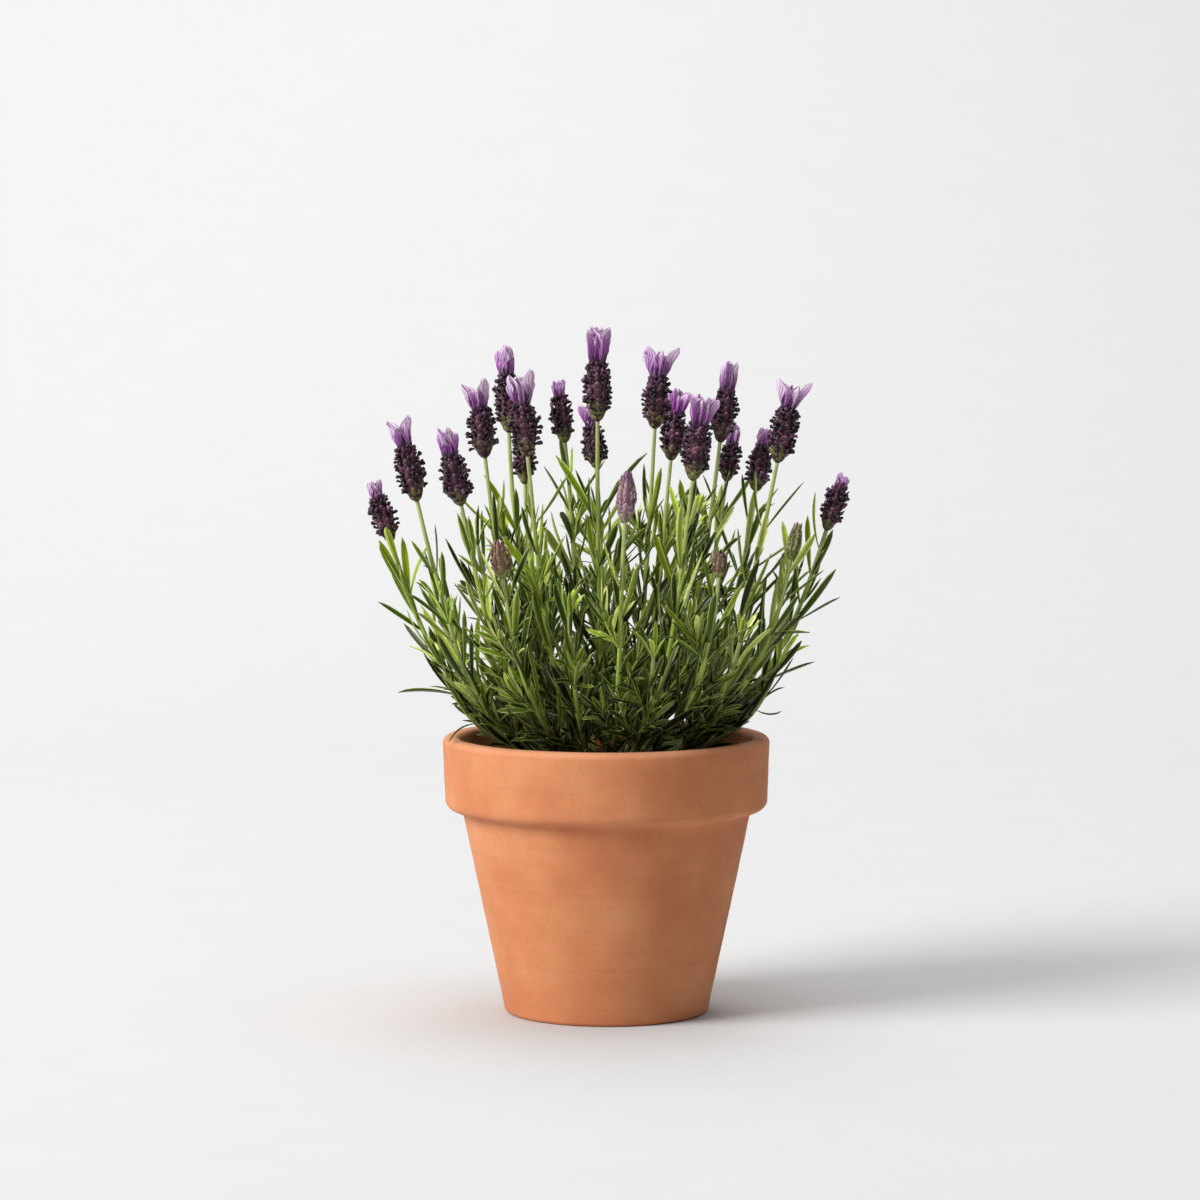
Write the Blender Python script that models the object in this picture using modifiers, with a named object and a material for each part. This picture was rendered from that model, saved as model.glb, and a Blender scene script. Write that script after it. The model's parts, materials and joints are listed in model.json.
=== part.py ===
"""Spanish lavender in a plain terracotta pot: pot, potting soil, shoots and flower heads.

Sizes are in millimetres and become metres through MM. The origin is the middle of the pot's
foot, on the surface it stands on; +Z is up and -Y is the front.
Run with: blender --background --python part.py
"""
import math

import bmesh
import bpy
import numpy as np
from mathutils import Matrix, Vector

MM = 0.001
GAP = 0.3  # clearance between pieces that rest on each other

# Pot: a straight taper under a deep rolled rim, with one drain hole
RIM_RADIUS = 60.0
RIM_TOP = 101.8
RIM_BOTTOM = 75.0
RIM_TAPER = 0.8  # the rim band is this much narrower at its lower edge
NECK_RADIUS = 53.1  # body radius just under the rim
FOOT_RADIUS = 37.4
WALL = 5.2
FLOOR = 7.0
DRAIN_RADIUS = 6.0
LIP_ROUND = 2.4
RIM_ROUND = 3.6
FOOT_ROUND = 1.8
POT_SIDES = 40

# Soil: fills the pot to a little under the lip, slightly mounded
SOIL_EDGE_Z = 91.0
SOIL_MOUND = 2.5
SOIL_WALL_GAP = 0.4
SOIL_RINGS = 3
SOIL_SIDES = 32

# Shoots
# A shoot leaves the soil at this fraction of its top's distance from the axis
FLOWERING_SPREAD = 0.30
LEAFY_SPREAD = 0.41
LEAFY_STEEPNESS = 1.4  # how upright a leafy shoot's tip stands
STEM_RADIUS_LOW = 1.3
STEM_RADIUS_HIGH = 0.8
STEM_SEGMENTS = 8
STEM_UPRIGHT = 2.0  # the stem's first stretch, straight out of the soil
OUTWARD_START = 2.0  # how strongly a shoot sets out sideways
UPWARD_START = 0.7  # and upwards
LEAF_LENGTH = 24.0
LEAF_WIDTH = 3.0
LEAF_THICKNESS = 1.0
LEAF_ANGLE = math.radians(42)
LEAF_CURL = 0.16
LEAF_ROOT = 0.45  # distance of a leaf's root from the stem's centre line
LEAF_ROOM = 3.7  # closest that two leaves' middle lines come
LEAF_CLEARANCE = 3.0  # and how far a leaf keeps from the pot and the soil
PAIR_SPACING = 24.0
FIRST_PAIR = 16.0  # height of the lowest pair above the soil
PLANT_REACH = 87.0  # no leaf reaches further than this from the pot's axis

# Flower heads: each stands on its own stem.
# name: (foot of the spike x, y, z), (lean x, lean y), spike length, spike width, coma, bare stem
# A lean is sideways travel for each unit of height. A head with no coma is still in bud.
FLOWER_HEADS = {
    "01": ((-78.4, -8.0, 173.5), (-0.31, -0.05), 16.8, 8.6, 6.0, 4.0),
    "02": ((-68.5, -18.0, 189.0), (-0.23, -0.08), 20.4, 10.2, 11.0, 24.0),
    "03": ((-51.8, -42.0, 188.8), (-0.21, -0.12), 18.4, 10.4, 10.5, 14.0),
    "04": ((-44.7, 12.0, 203.2), (-0.12, 0.04), 18.2, 10.4, 10.5, 22.0),
    "05": ((-36.3, 30.0, 211.8), (-0.04, 0.10), 21.6, 9.8, 10.0, 34.0),
    "06": ((-28.2, -38.0, 206.2), (-0.10, -0.10), 19.2, 10.4, 10.0, 20.0),
    "07": ((-30.8, 58.0, 191.0), (-0.02, 0.16), 18.0, 8.6, 8.0, 20.0),
    "08": ((-15.5, 46.0, 207.2), (-0.12, 0.12), 17.4, 7.8, 6.2, 12.0),
    "09": ((-3.3, -14.0, 217.7), (0.00, -0.03), 21.6, 10.6, 12.4, 34.0),
    "10": ((-3.8, 66.0, 196.8), (-0.10, 0.14), 16.0, 8.6, 9.0, 16.0),
    "11": ((17.8, 12.0, 214.0), (0.06, 0.04), 19.0, 10.4, 11.0, 26.0),
    "12": ((24.2, 44.0, 200.8), (0.11, 0.12), 17.2, 9.6, 9.0, 18.0),
    "13": ((30.5, -46.0, 198.0), (0.12, -0.12), 20.3, 10.8, 10.2, 16.0),
    "14": ((42.2, 24.0, 208.4), (0.13, 0.06), 19.4, 9.8, 11.0, 24.0),
    "15": ((45.5, 60.0, 192.0), (0.16, 0.14), 14.0, 7.6, 8.0, 12.0),
    "16": ((55.7, 34.0, 189.6), (0.15, 0.08), 16.6, 8.8, 6.2, 12.0),
    "17": ((61.7, -16.0, 202.8), (0.20, -0.05), 20.4, 10.2, 9.0, 16.0),
    "18": ((6.3, -72.0, 184.3), (0.06, -0.12), 16.5, 6.2, 0.0, 16.0),
    "19": ((80.5, 4.0, 176.9), (0.33, 0.03), 17.0, 8.2, 5.0, 4.0),
    "20": ((-36.6, -58.0, 163.8), (-0.13, -0.14), 12.3, 6.6, 0.0, 6.0),
    "21": ((66.4, -26.0, 168.0), (0.19, -0.08), 12.2, 4.6, 0.0, 4.0),
    "22": ((39.4, -62.0, 164.6), (0.05, -0.14), 8.4, 4.8, 0.0, 5.0),
}

# Leafy shoots with no flower: direction round the pot in degrees, reach and height of the tip
LEAFY_SHOOTS = {
    "01": (195, 62, 130),
    "02": (211, 66, 146),
    "03": (255, 52, 150),
    "04": (286, 60, 136),
    "05": (318, 64, 140),
    "06": (348, 64, 130),
    "07": (20, 70, 152),
    "08": (42, 74, 146),
    "09": (66, 70, 160),
    "10": (92, 76, 150),
    "11": (116, 72, 164),
    "12": (149, 74, 148),
    "13": (172, 48, 172),
    "14": (334, 34, 182),
}

# A spike's outline from its top down, as shares of half its width and of its length
SPIKE_OUTLINE = [(0.0, 1.0), (0.36, 0.99), (0.82, 0.86), (1.0, 0.5), (0.84, 0.15), (0.26, 0.0), (0.0, 0.0)]
HEAD_SIDES = 7
COMA_BRACTS = 4
COMA_SPLAY = math.radians(17)

COLLECTION = "potted_lavender"


def clear_scene():
    for old in list(bpy.data.objects):
        bpy.data.objects.remove(old, do_unlink=True)


def new_collection(name):
    collection = bpy.data.collections.new(name)
    bpy.context.scene.collection.children.link(collection)
    return collection


def material(name, colour, roughness):
    made = bpy.data.materials.new(name)
    made.use_nodes = True
    shader = made.node_tree.nodes["Principled BSDF"]
    shader.inputs["Base Color"].default_value = (*colour, 1.0)
    shader.inputs["Roughness"].default_value = roughness
    shader.inputs["Metallic"].default_value = 0.0
    return made


def add_object(name, data, collection, finish):
    made = bpy.data.objects.new(name, data)
    collection.objects.link(made)
    data.materials.append(finish)
    return made


def rounded_corner(centre, radius, start, end, steps=2):
    """Points along an arc in the radius-height plane, angles in degrees from +radius."""
    angles = np.radians(np.linspace(start, end, steps + 1))
    return [(centre[0] + radius * math.cos(a), centre[1] + radius * math.sin(a)) for a in angles]


def turned(name, profile, closed, sides, collection, finish):
    """A profile of (radius, height) points, turned about the Z axis by a Screw modifier."""
    mesh = bpy.data.meshes.new(name)
    points = [(r * MM, 0.0, z * MM) for r, z in profile]
    edges = [(i, i + 1) for i in range(len(points) - 1)]
    if closed:
        edges.append((len(points) - 1, 0))
    mesh.from_pydata(points, edges, [])
    made = add_object(name, mesh, collection, finish)
    screw = made.modifiers.new("turn", "SCREW")
    screw.axis = "Z"
    screw.angle = math.tau
    screw.steps = sides
    screw.render_steps = sides
    screw.use_merge_vertices = True
    screw.merge_threshold = 0.00001
    screw.use_smooth_shade = True
    return made


# ---------------------------------------------------------------- pot and soil

def body_radius(height):
    """Outside radius of the tapered body, carried on up inside the rim."""
    return FOOT_RADIUS + (NECK_RADIUS - FOOT_RADIUS) * height / RIM_BOTTOM


def inside_radius(height):
    return body_radius(height) - WALL


def build_pot(collection):
    clay = material("terracotta", (0.50, 0.18, 0.085), 0.85)
    lip_in = inside_radius(RIM_TOP)
    lower_rim = RIM_RADIUS - RIM_TAPER
    profile = [
        *rounded_corner((RIM_RADIUS - LIP_ROUND, RIM_TOP - LIP_ROUND), LIP_ROUND, 90, 0),
        *rounded_corner((lower_rim - RIM_ROUND, RIM_BOTTOM + RIM_ROUND), RIM_ROUND, 0, -80),
        (NECK_RADIUS + 0.4, RIM_BOTTOM - 0.5),
        (body_radius(RIM_BOTTOM - 2.5), RIM_BOTTOM - 2.5),
        *rounded_corner((FOOT_RADIUS - FOOT_ROUND + 0.3, FOOT_ROUND), FOOT_ROUND, 0, -90),
        (DRAIN_RADIUS, 0.0),
        (DRAIN_RADIUS, FLOOR),
        (inside_radius(FLOOR) - 2.0, FLOOR),
        (inside_radius(FLOOR + 2.0), FLOOR + 2.0),
        (lip_in, RIM_TOP - LIP_ROUND),
        *rounded_corner((lip_in + LIP_ROUND, RIM_TOP - LIP_ROUND), LIP_ROUND, 150, 90, 2),
    ]
    return turned("pot", profile, True, POT_SIDES, collection, clay)


def soil_height(radius):
    edge = inside_radius(SOIL_EDGE_Z)
    return SOIL_EDGE_Z + SOIL_MOUND * (1.0 - (radius / edge) ** 2)


def build_soil(collection):
    compost = material("potting_soil", (0.035, 0.022, 0.015), 0.95)
    edge = inside_radius(SOIL_EDGE_Z) - SOIL_WALL_GAP
    low = FLOOR + 0.5
    top = [(edge * i / SOIL_RINGS, soil_height(edge * i / SOIL_RINGS)) for i in range(SOIL_RINGS + 1)]
    profile = [
        *top,
        (inside_radius(FLOOR + 2.5) - SOIL_WALL_GAP, FLOOR + 2.5),
        (inside_radius(FLOOR) - 2.6, low),
        (0.0, low),
    ]
    return turned("soil", profile, False, SOIL_SIDES, collection, compost)


# ---------------------------------------------------------------- shoots

def unit(vector):
    return vector / np.linalg.norm(vector)


def head_axis(lean):
    return unit(np.array([lean[0], lean[1], 1.0]))


def stem_path(top, top_direction, spread):
    """Middle line of a stem: out of the soil, sideways, then up to its top."""
    top = np.array(top, float)
    foot = np.array([top[0] * spread, top[1] * spread, 0.0])
    foot[2] = soil_height(math.hypot(foot[0], foot[1])) + GAP
    start = foot + (0.0, 0.0, STEM_UPRIGHT)
    chord = top - start
    leave = chord * (OUTWARD_START, OUTWARD_START, UPWARD_START)
    arrive = top_direction * np.linalg.norm(chord)
    points = [foot]
    for t in np.linspace(0.0, 1.0, STEM_SEGMENTS + 1):
        points.append(
            (2 * t**3 - 3 * t**2 + 1) * start
            + (t**3 - 2 * t**2 + t) * leave
            + (3 * t**2 - 2 * t**3) * top
            + (t**3 - t**2) * arrive
        )
    points.insert(-1, points[-1] - top_direction * 1.0)
    return np.array(points)


def distance_between(a0, a1, b0, b1):
    """Least distance from the segment a0-a1 to each segment of the arrays b0, b1."""
    samples = np.linspace(0.0, 1.0, 9)
    points = a0 + samples[:, None] * (a1 - a0)
    along = b1 - b0
    length = np.maximum((along**2).sum(axis=1), 1e-9)
    reach = ((points[:, None, :] - b0) * along).sum(axis=2) / length
    nearest = b0 + np.clip(reach, 0.0, 1.0)[:, :, None] * along
    return np.linalg.norm(points[:, None, :] - nearest, axis=2).min(axis=0)


class Room:
    """The lines that stems, leaves and heads already take up, with the room each one needs."""

    def __init__(self):
        self.starts, self.ends, self.reach, self.owners = [], [], [], []

    def take(self, points, reach, owner):
        for start, end in zip(points[:-1], points[1:]):
            self.starts.append(start)
            self.ends.append(end)
            self.reach.append(reach)
            self.owners.append(owner)

    def allows(self, points, reach, owner):
        starts, ends = np.array(self.starts), np.array(self.ends)
        need = np.array(self.reach) + reach
        need[np.array(self.owners) == owner] = -1.0
        return all(
            (distance_between(start, end, starts, ends) > need).all()
            for start, end in zip(points[:-1], points[1:])
        )


def within_plant(points):
    """True where a leaf stays off the soil, away from the pot's lip and inside the plant's outline."""
    for x, y, z in points:
        radius = math.hypot(x, y)
        if radius > PLANT_REACH or z < SOIL_EDGE_Z + SOIL_MOUND + LEAF_CLEARANCE:
            return False
        if z < RIM_TOP + LEAF_CLEARANCE and radius > inside_radius(RIM_TOP) - LEAF_CLEARANCE:
            return False
    return True


def leaf_line(root, axis, outward, length):
    """Middle line of a leaf that leaves the stem slanting and then bends."""
    line = []
    for s in np.linspace(0.0, 1.0, 5):
        rise = math.cos(LEAF_ANGLE) * s + LEAF_CURL * s**2
        away = math.sin(LEAF_ANGLE) * s - LEAF_CURL * s**2
        line.append(root + length * (rise * axis + away * outward))
    return np.array(line)


def leaf_roots(path, bare):
    """Points along a stem where pairs of leaves grow, each with the stem's direction there."""
    steps = np.linalg.norm(np.diff(path, axis=0), axis=1)
    travel = np.concatenate([[0.0], np.cumsum(steps)])
    count = max(1, int((travel[-1] - bare - FIRST_PAIR) // PAIR_SPACING) + 1)
    for place in np.linspace(FIRST_PAIR, travel[-1] - bare, count):
        i = min(int(np.searchsorted(travel, place)), len(path) - 1)
        share = (place - travel[i - 1]) / steps[i - 1]
        yield path[i - 1] + share * (path[i] - path[i - 1]), unit(path[i] - path[i - 1])


def grow_leaves(path, bare, room, owner):
    """Leaf lines in crosswise pairs; a leaf turns, shortens or stays away where it has no room."""
    leaves = []
    for pair, (node, axis) in enumerate(leaf_roots(path, bare)):
        side = unit(np.cross(axis, (0.3, 0.9, 0.2)))
        across = np.cross(axis, side)
        for half in (0, 1):
            grown = None
            for turn, shrink in [(0, 1.0), (0.35, 1.0), (-0.35, 1.0), (0.7, 0.85), (0, 0.6), (0.5, 0.6)]:
                angle = math.pi * half + math.pi / 2 * (pair % 2) + turn
                outward = math.cos(angle) * side + math.sin(angle) * across
                line = leaf_line(node + outward * LEAF_ROOT, axis, outward, LEAF_LENGTH * shrink)
                if within_plant(line) and room.allows(line[1:], LEAF_ROOM / 2, owner):
                    grown = (line, unit(np.cross(axis, outward)))
                    break
            if grown:
                room.take(grown[0][1:], LEAF_ROOM / 2, owner + "_leaf")
                leaves.append(grown)
    return leaves


def add_leaf(mesh, line, sideways):
    """A leaf: a flattened spindle bent along its middle line."""
    made = bmesh.ops.create_uvsphere(mesh, u_segments=4, v_segments=3, radius=1.0)
    length_steps = np.linspace(0.0, 1.0, len(line))
    for vertex in made["verts"]:
        s = (vertex.co.z + 1.0) / 2.0
        centre = [float(np.interp(s, length_steps, line[:, k])) for k in range(3)]
        ahead = unit(line[-1] - line[0])
        up = np.cross(ahead, sideways)
        offset = vertex.co.x * sideways * LEAF_WIDTH / 2 + vertex.co.y * up * LEAF_THICKNESS / 2
        vertex.co = Vector(np.array(centre) + offset) * MM


def tube_mesh(name, path, radii):
    """A stem: a square-sectioned tube along a path, as a closed mesh."""
    curve = bpy.data.curves.new(name, "CURVE")
    curve.dimensions = "3D"
    curve.bevel_depth = MM
    curve.bevel_resolution = 0
    curve.use_fill_caps = True
    spline = curve.splines.new("POLY")
    spline.points.add(len(path) - 1)
    for point, place, radius in zip(spline.points, path, radii):
        point.co = (*[float(c) * MM for c in place], 1.0)
        point.radius = radius
    holder = bpy.data.objects.new(name, curve)
    bpy.context.scene.collection.objects.link(holder)
    evaluated = holder.evaluated_get(bpy.context.evaluated_depsgraph_get())
    mesh = bpy.data.meshes.new_from_object(evaluated)
    bpy.data.objects.remove(holder, do_unlink=True)
    welded = bmesh.new()
    welded.from_mesh(mesh)
    bmesh.ops.remove_doubles(welded, verts=welded.verts, dist=0.00001)
    welded.to_mesh(mesh)
    welded.free()
    return mesh


def build_shoot(name, path, leaves, collection, cutters, finish):
    radii = np.linspace(STEM_RADIUS_LOW, STEM_RADIUS_HIGH, len(path))
    stem = add_object(name, tube_mesh(name, path, radii), collection, finish)
    if not leaves:
        return
    mesh = bmesh.new()
    for line, sideways in leaves:
        add_leaf(mesh, line, sideways)
    bmesh.ops.recalc_face_normals(mesh, faces=mesh.faces)
    data = bpy.data.meshes.new(name + "_leaves")
    mesh.to_mesh(data)
    mesh.free()
    join_to(stem, add_object(name + "_leaves", data, cutters, finish))


def join_to(target, addition):
    addition.hide_render = True
    addition.display_type = "WIRE"
    union = target.modifiers.new("join", "BOOLEAN")
    union.operation = "UNION"
    union.solver = "EXACT"
    union.object = addition


# ---------------------------------------------------------------- flower heads

def build_head(name, foot, lean, length, width, coma, collection, cutters, finish):
    """A spike of packed bracts, with a tuft of petal-like bracts on top once it has opened."""
    profile = [(share * width / 2, height * length) for share, height in SPIKE_OUTLINE]
    spike = turned(name, profile, False, HEAD_SIDES, collection, finish)
    axis = Vector(head_axis(lean))
    turn = axis.to_track_quat("Z", "Y").to_matrix().to_4x4()
    place = Matrix.Translation(Vector(foot) * MM) @ turn
    spike.matrix_world = place
    if not coma:
        return
    mesh = bmesh.new()
    for i in range(COMA_BRACTS):
        made = bmesh.ops.create_uvsphere(mesh, u_segments=4, v_segments=3, radius=1.0)
        size = Matrix.Diagonal((width * 0.17, width * 0.08, coma * 0.62, 1.0))
        lift = Matrix.Translation((0.0, 0.0, coma * 0.5))
        tip_out = Matrix.Rotation(-COMA_SPLAY, 4, "X")
        spin = Matrix.Rotation(math.tau * (i + 0.33) / COMA_BRACTS, 4, "Z")
        seat = Matrix.Translation((0.0, 0.0, length - coma * 0.05))
        ring = Matrix.Translation((0.0, width * 0.14, 0.0))
        bmesh.ops.transform(
            mesh,
            matrix=Matrix.Scale(MM, 4) @ seat @ spin @ ring @ tip_out @ lift @ size,
            verts=made["verts"],
        )
    data = bpy.data.meshes.new(name + "_coma")
    mesh.to_mesh(data)
    mesh.free()
    tuft = add_object(name + "_coma", data, cutters, finish)
    tuft.matrix_world = place
    join_to(spike, tuft)


def build_plant(collection, cutters):
    leaf_green = material("lavender_shoot", (0.11, 0.20, 0.045), 0.6)
    violet = material("lavender_head", (0.20, 0.06, 0.20), 0.7)
    bud = material("lavender_bud", (0.22, 0.16, 0.13), 0.7)
    room = Room()
    paths, bare = {}, {}
    for key, (foot, lean, length, width, coma, peduncle) in FLOWER_HEADS.items():
        axis = head_axis(lean)
        name = "flower_stem_" + key
        paths[name] = stem_path(np.array(foot) - axis * GAP, axis, FLOWERING_SPREAD)
        bare[name] = peduncle
        room.take(np.array([foot, np.array(foot) + axis * (length + coma)]), width / 2 + 1.0, name)
    for key, (degrees, reach, height) in LEAFY_SHOOTS.items():
        angle = math.radians(degrees)
        tip = (reach * math.cos(angle), reach * math.sin(angle), height)
        name = "leafy_shoot_" + key
        tip_direction = unit(np.array([tip[0], tip[1], LEAFY_STEEPNESS * height]))
        paths[name] = stem_path(tip, tip_direction, LEAFY_SPREAD)
        bare[name] = 1.5
    for name, path in paths.items():
        room.take(path, STEM_RADIUS_LOW + 0.3, name)
    for name, path in paths.items():
        leaves = grow_leaves(path, bare[name], room, name)
        build_shoot(name, path, leaves, collection, cutters, leaf_green)
    for key, (foot, lean, length, width, coma, _) in FLOWER_HEADS.items():
        finish = violet if coma else bud
        build_head("flower_head_" + key, foot, lean, length, width, coma, collection, cutters, finish)


def main():
    clear_scene()
    parts = new_collection(COLLECTION)
    cutters = new_collection("cutters")
    build_pot(parts)
    build_soil(parts)
    build_plant(parts, cutters)


main()
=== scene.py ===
"""Spanish lavender growing in a plain terracotta pot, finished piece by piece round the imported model.

Lengths are in metres unless a name says otherwise. +Z is up and -Y is the front.
"""
import json
import logging
import math
from dataclasses import dataclass, field
from enum import Enum
from functools import partial
from typing import Any, Callable, Iterable

import bmesh
import bpy
import numpy as np
from mathutils import Matrix, Vector

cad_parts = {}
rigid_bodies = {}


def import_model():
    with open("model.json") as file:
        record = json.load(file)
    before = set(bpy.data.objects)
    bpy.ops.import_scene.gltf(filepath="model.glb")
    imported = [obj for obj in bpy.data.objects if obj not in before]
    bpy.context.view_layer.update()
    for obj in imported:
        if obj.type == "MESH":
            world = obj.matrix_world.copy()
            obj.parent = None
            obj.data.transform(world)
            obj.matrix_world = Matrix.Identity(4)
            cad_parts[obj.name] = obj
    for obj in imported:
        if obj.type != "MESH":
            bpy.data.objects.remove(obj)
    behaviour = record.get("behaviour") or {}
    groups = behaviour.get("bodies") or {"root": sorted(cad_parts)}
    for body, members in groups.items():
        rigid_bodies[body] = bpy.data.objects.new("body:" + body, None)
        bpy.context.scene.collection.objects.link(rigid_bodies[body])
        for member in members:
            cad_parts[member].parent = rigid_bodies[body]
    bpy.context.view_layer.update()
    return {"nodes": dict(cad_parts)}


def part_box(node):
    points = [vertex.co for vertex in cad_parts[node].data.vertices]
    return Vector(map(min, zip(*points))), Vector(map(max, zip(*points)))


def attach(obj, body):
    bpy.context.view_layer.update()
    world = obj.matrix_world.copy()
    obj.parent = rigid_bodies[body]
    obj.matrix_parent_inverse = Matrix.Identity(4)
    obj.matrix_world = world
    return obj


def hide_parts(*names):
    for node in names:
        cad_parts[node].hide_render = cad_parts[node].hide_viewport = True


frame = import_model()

LOG = logging.getLogger("potted_lavender")
MM = 0.001
UP = Vector((0.0, 0.0, 1.0))
BODY = "root"


# ------------------------------------------------------------------------------ small helpers

NodeAdder = Callable[..., bpy.types.Node]
MIX, MATH, NOISE, RAMP = "ShaderNodeMix", "ShaderNodeMath", "ShaderNodeTexNoise", "ShaderNodeValToRGB"
RANGE, BUMP, MAPPING = "ShaderNodeMapRange", "ShaderNodeBump", "ShaderNodeMapping"
PLACE, ATTRIBUTE, PARTS = "ShaderNodeTexCoord", "ShaderNodeAttribute", "ShaderNodeSeparateXYZ"
NAMED = "GeometryNodeInputNamedAttribute"
# A mix node's inputs go by number, as their names repeat: 0 is the share, 6 and 7 are the colours.
BLEND = {"data_type": "RGBA"}
DARKEN = {"data_type": "RGBA", "blend_type": "MULTIPLY"}
TIMES = {"operation": "MULTIPLY"}


def linear(hex_colour: str) -> tuple[float, float, float, float]:
    """Turns an sRGB hex colour into the linear colour a shader takes.

    Args:
        hex_colour: Six hex digits, with or without a leading #.

    Returns:
        Linear red, green and blue, and an alpha of 1.
    """
    digits = hex_colour.lstrip("#")
    parts = [int(digits[i : i + 2], 16) / 255.0 for i in (0, 2, 4)]
    made = [c / 12.92 if c <= 0.04045 else ((c + 0.055) / 1.055) ** 2.4 for c in parts]
    return (made[0], made[1], made[2], 1.0)


def fill_ramp(ramp: bpy.types.ColorRamp, stops: Iterable[tuple[float, str]]) -> None:
    """Gives a colour ramp its stops.

    Args:
        ramp: The ramp, with the two stops it starts with.
        stops: Position and hex colour of each stop, in order.
    """
    for i, (place, colour) in enumerate(stops):
        stop = ramp.elements[i] if i < len(ramp.elements) else ramp.elements.new(place)
        stop.position = place
        stop.color = linear(colour)


def add_node(tree: bpy.types.NodeTree, kind: str, settings: dict[str, Any] | None = None,
             inputs: dict[Any, Any] | None = None) -> bpy.types.Node:
    """Adds a node with its settings, values and links.

    Args:
        tree: The node tree it goes in.
        kind: Blender's name for the type of node.
        settings: The node's own properties by name, and stops for a colour ramp.
        inputs: For each input, by name or number, a value, a hex colour, an output socket to link
            to it, or a node whose first output in use is linked to it.

    Returns:
        The new node.
    """
    node = tree.nodes.new(kind)
    for name, value in (settings or {}).items():
        if name == "stops":
            fill_ramp(node.color_ramp, value)
        else:
            setattr(node, name, value)
    for name, value in (inputs or {}).items():
        socket = node.inputs[name]
        if isinstance(value, bpy.types.Node):
            value = next(output for output in value.outputs if output.enabled)
        if isinstance(value, bpy.types.NodeSocket):
            tree.links.new(value, socket)
        elif isinstance(value, str) and socket.type == "RGBA":
            socket.default_value = linear(value)
        else:
            socket.default_value = value
    return node


def blotches(place: Any, size_mm: float, detail: float = 3.0, roughness: float = 0.55) -> dict[str, Any]:
    """Inputs of a noise whose blotches have a real size.

    Args:
        place: Where the noise is read.
        size_mm: About how wide a blotch is.
        detail: How many finer layers it has.
        roughness: How strong those layers are.

    Returns:
        The inputs by name.
    """
    return {"Vector": place, "Scale": 1.0 / (size_mm * MM), "Detail": detail, "Roughness": roughness}


def relief(height: Any, depth_mm: float, strength: float) -> dict[str, Any]:
    """Inputs of a bump of a real depth.

    Args:
        height: What gives the height.
        depth_mm: How deep it goes.
        strength: How much of it shows.

    Returns:
        The inputs by name.
    """
    return {"Height": height, "Distance": depth_mm * MM, "Strength": strength}


def mesh_object(name: str, mesh: bpy.types.Mesh) -> bpy.types.Object:
    """Puts a mesh in the scene.

    Args:
        name: The object's name.
        mesh: Its mesh.

    Returns:
        The object, at the origin.
    """
    made = bpy.data.objects.new(name, mesh)
    bpy.context.scene.collection.objects.link(made)
    return made


def smooth_mesh(name: str, points: np.ndarray, faces: list[tuple[int, ...]]) -> bpy.types.Mesh:
    """Makes a smooth-shaded mesh with its faces turned outwards.

    Args:
        name: The mesh's name.
        points: A row of three coordinates for each point.
        faces: The numbers of each face's points.

    Returns:
        The mesh.
    """
    mesh = bpy.data.meshes.new(name)
    mesh.from_pydata(np.asarray(points, float).tolist(), [], faces)
    turned = bmesh.new()
    turned.from_mesh(mesh)
    bmesh.ops.recalc_face_normals(turned, faces=turned.faces)
    turned.to_mesh(mesh)
    turned.free()
    mesh.shade_smooth()
    return mesh


def ring_faces(rings: int, around: int) -> list[tuple[int, ...]]:
    """Faces of a tube of closed rings of points, with a cap on each end.

    Args:
        rings: How many rings there are.
        around: How many points each has.

    Returns:
        The numbers of each face's points.
    """
    faces: list[tuple[int, ...]] = []
    for ring in range(rings - 1):
        for k in range(around):
            low, high = ring * around, (ring + 1) * around
            faces.append((low + k, low + (k + 1) % around, high + (k + 1) % around, high + k))
    faces.append(tuple(reversed(range(around))))
    faces.append(tuple(range((rings - 1) * around, rings * around)))
    return faces


def store(mesh: bpy.types.Mesh, name: str, values: Iterable[float]) -> None:
    """Stores one number for each point of a mesh under a name."""
    layer = mesh.attributes.new(name, "FLOAT", "POINT")
    layer.data.foreach_set("value", np.asarray(list(values), np.float32))


def finish_piece(piece: bpy.types.Object, slot: str, *nodes: str) -> bpy.types.Object:
    """Fastens a finished piece to the frame.

    Args:
        piece: The finished mesh object, at the origin.
        slot: The record's material slot; not used.
        nodes: CAD nodes that this piece stands for.

    Returns:
        The same piece.
    """
    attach(piece, BODY)
    if nodes:
        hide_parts(*nodes)
    LOG.info("%s: %d faces", piece.name, len(piece.data.polygons))
    return piece


# ------------------------------------------------------------------------------ finishes

@dataclass(frozen=True)
class Finish:
    """A material that is made once and shared by the pieces that wear it."""

    name: str

    def material(self) -> bpy.types.Material:
        """Builds the material's nodes on first use.

        Returns:
            The material.
        """
        found = bpy.data.materials.get(self.name)
        if found:
            return found
        made = bpy.data.materials.new(self.name)
        made.use_nodes = True
        made.node_tree.nodes.clear()
        add = partial(add_node, made.node_tree)
        shader = add("ShaderNodeBsdfPrincipled", {}, self.surface(add))
        add("ShaderNodeOutputMaterial", {}, {"Surface": shader})
        return made

    def surface(self, add: NodeAdder) -> dict[str, Any]:
        """Builds this finish's pattern.

        Args:
            add: Adds a node to the material, as add_node does to a tree.

        Returns:
            The shader's inputs by name.
        """
        raise NotImplementedError


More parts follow.
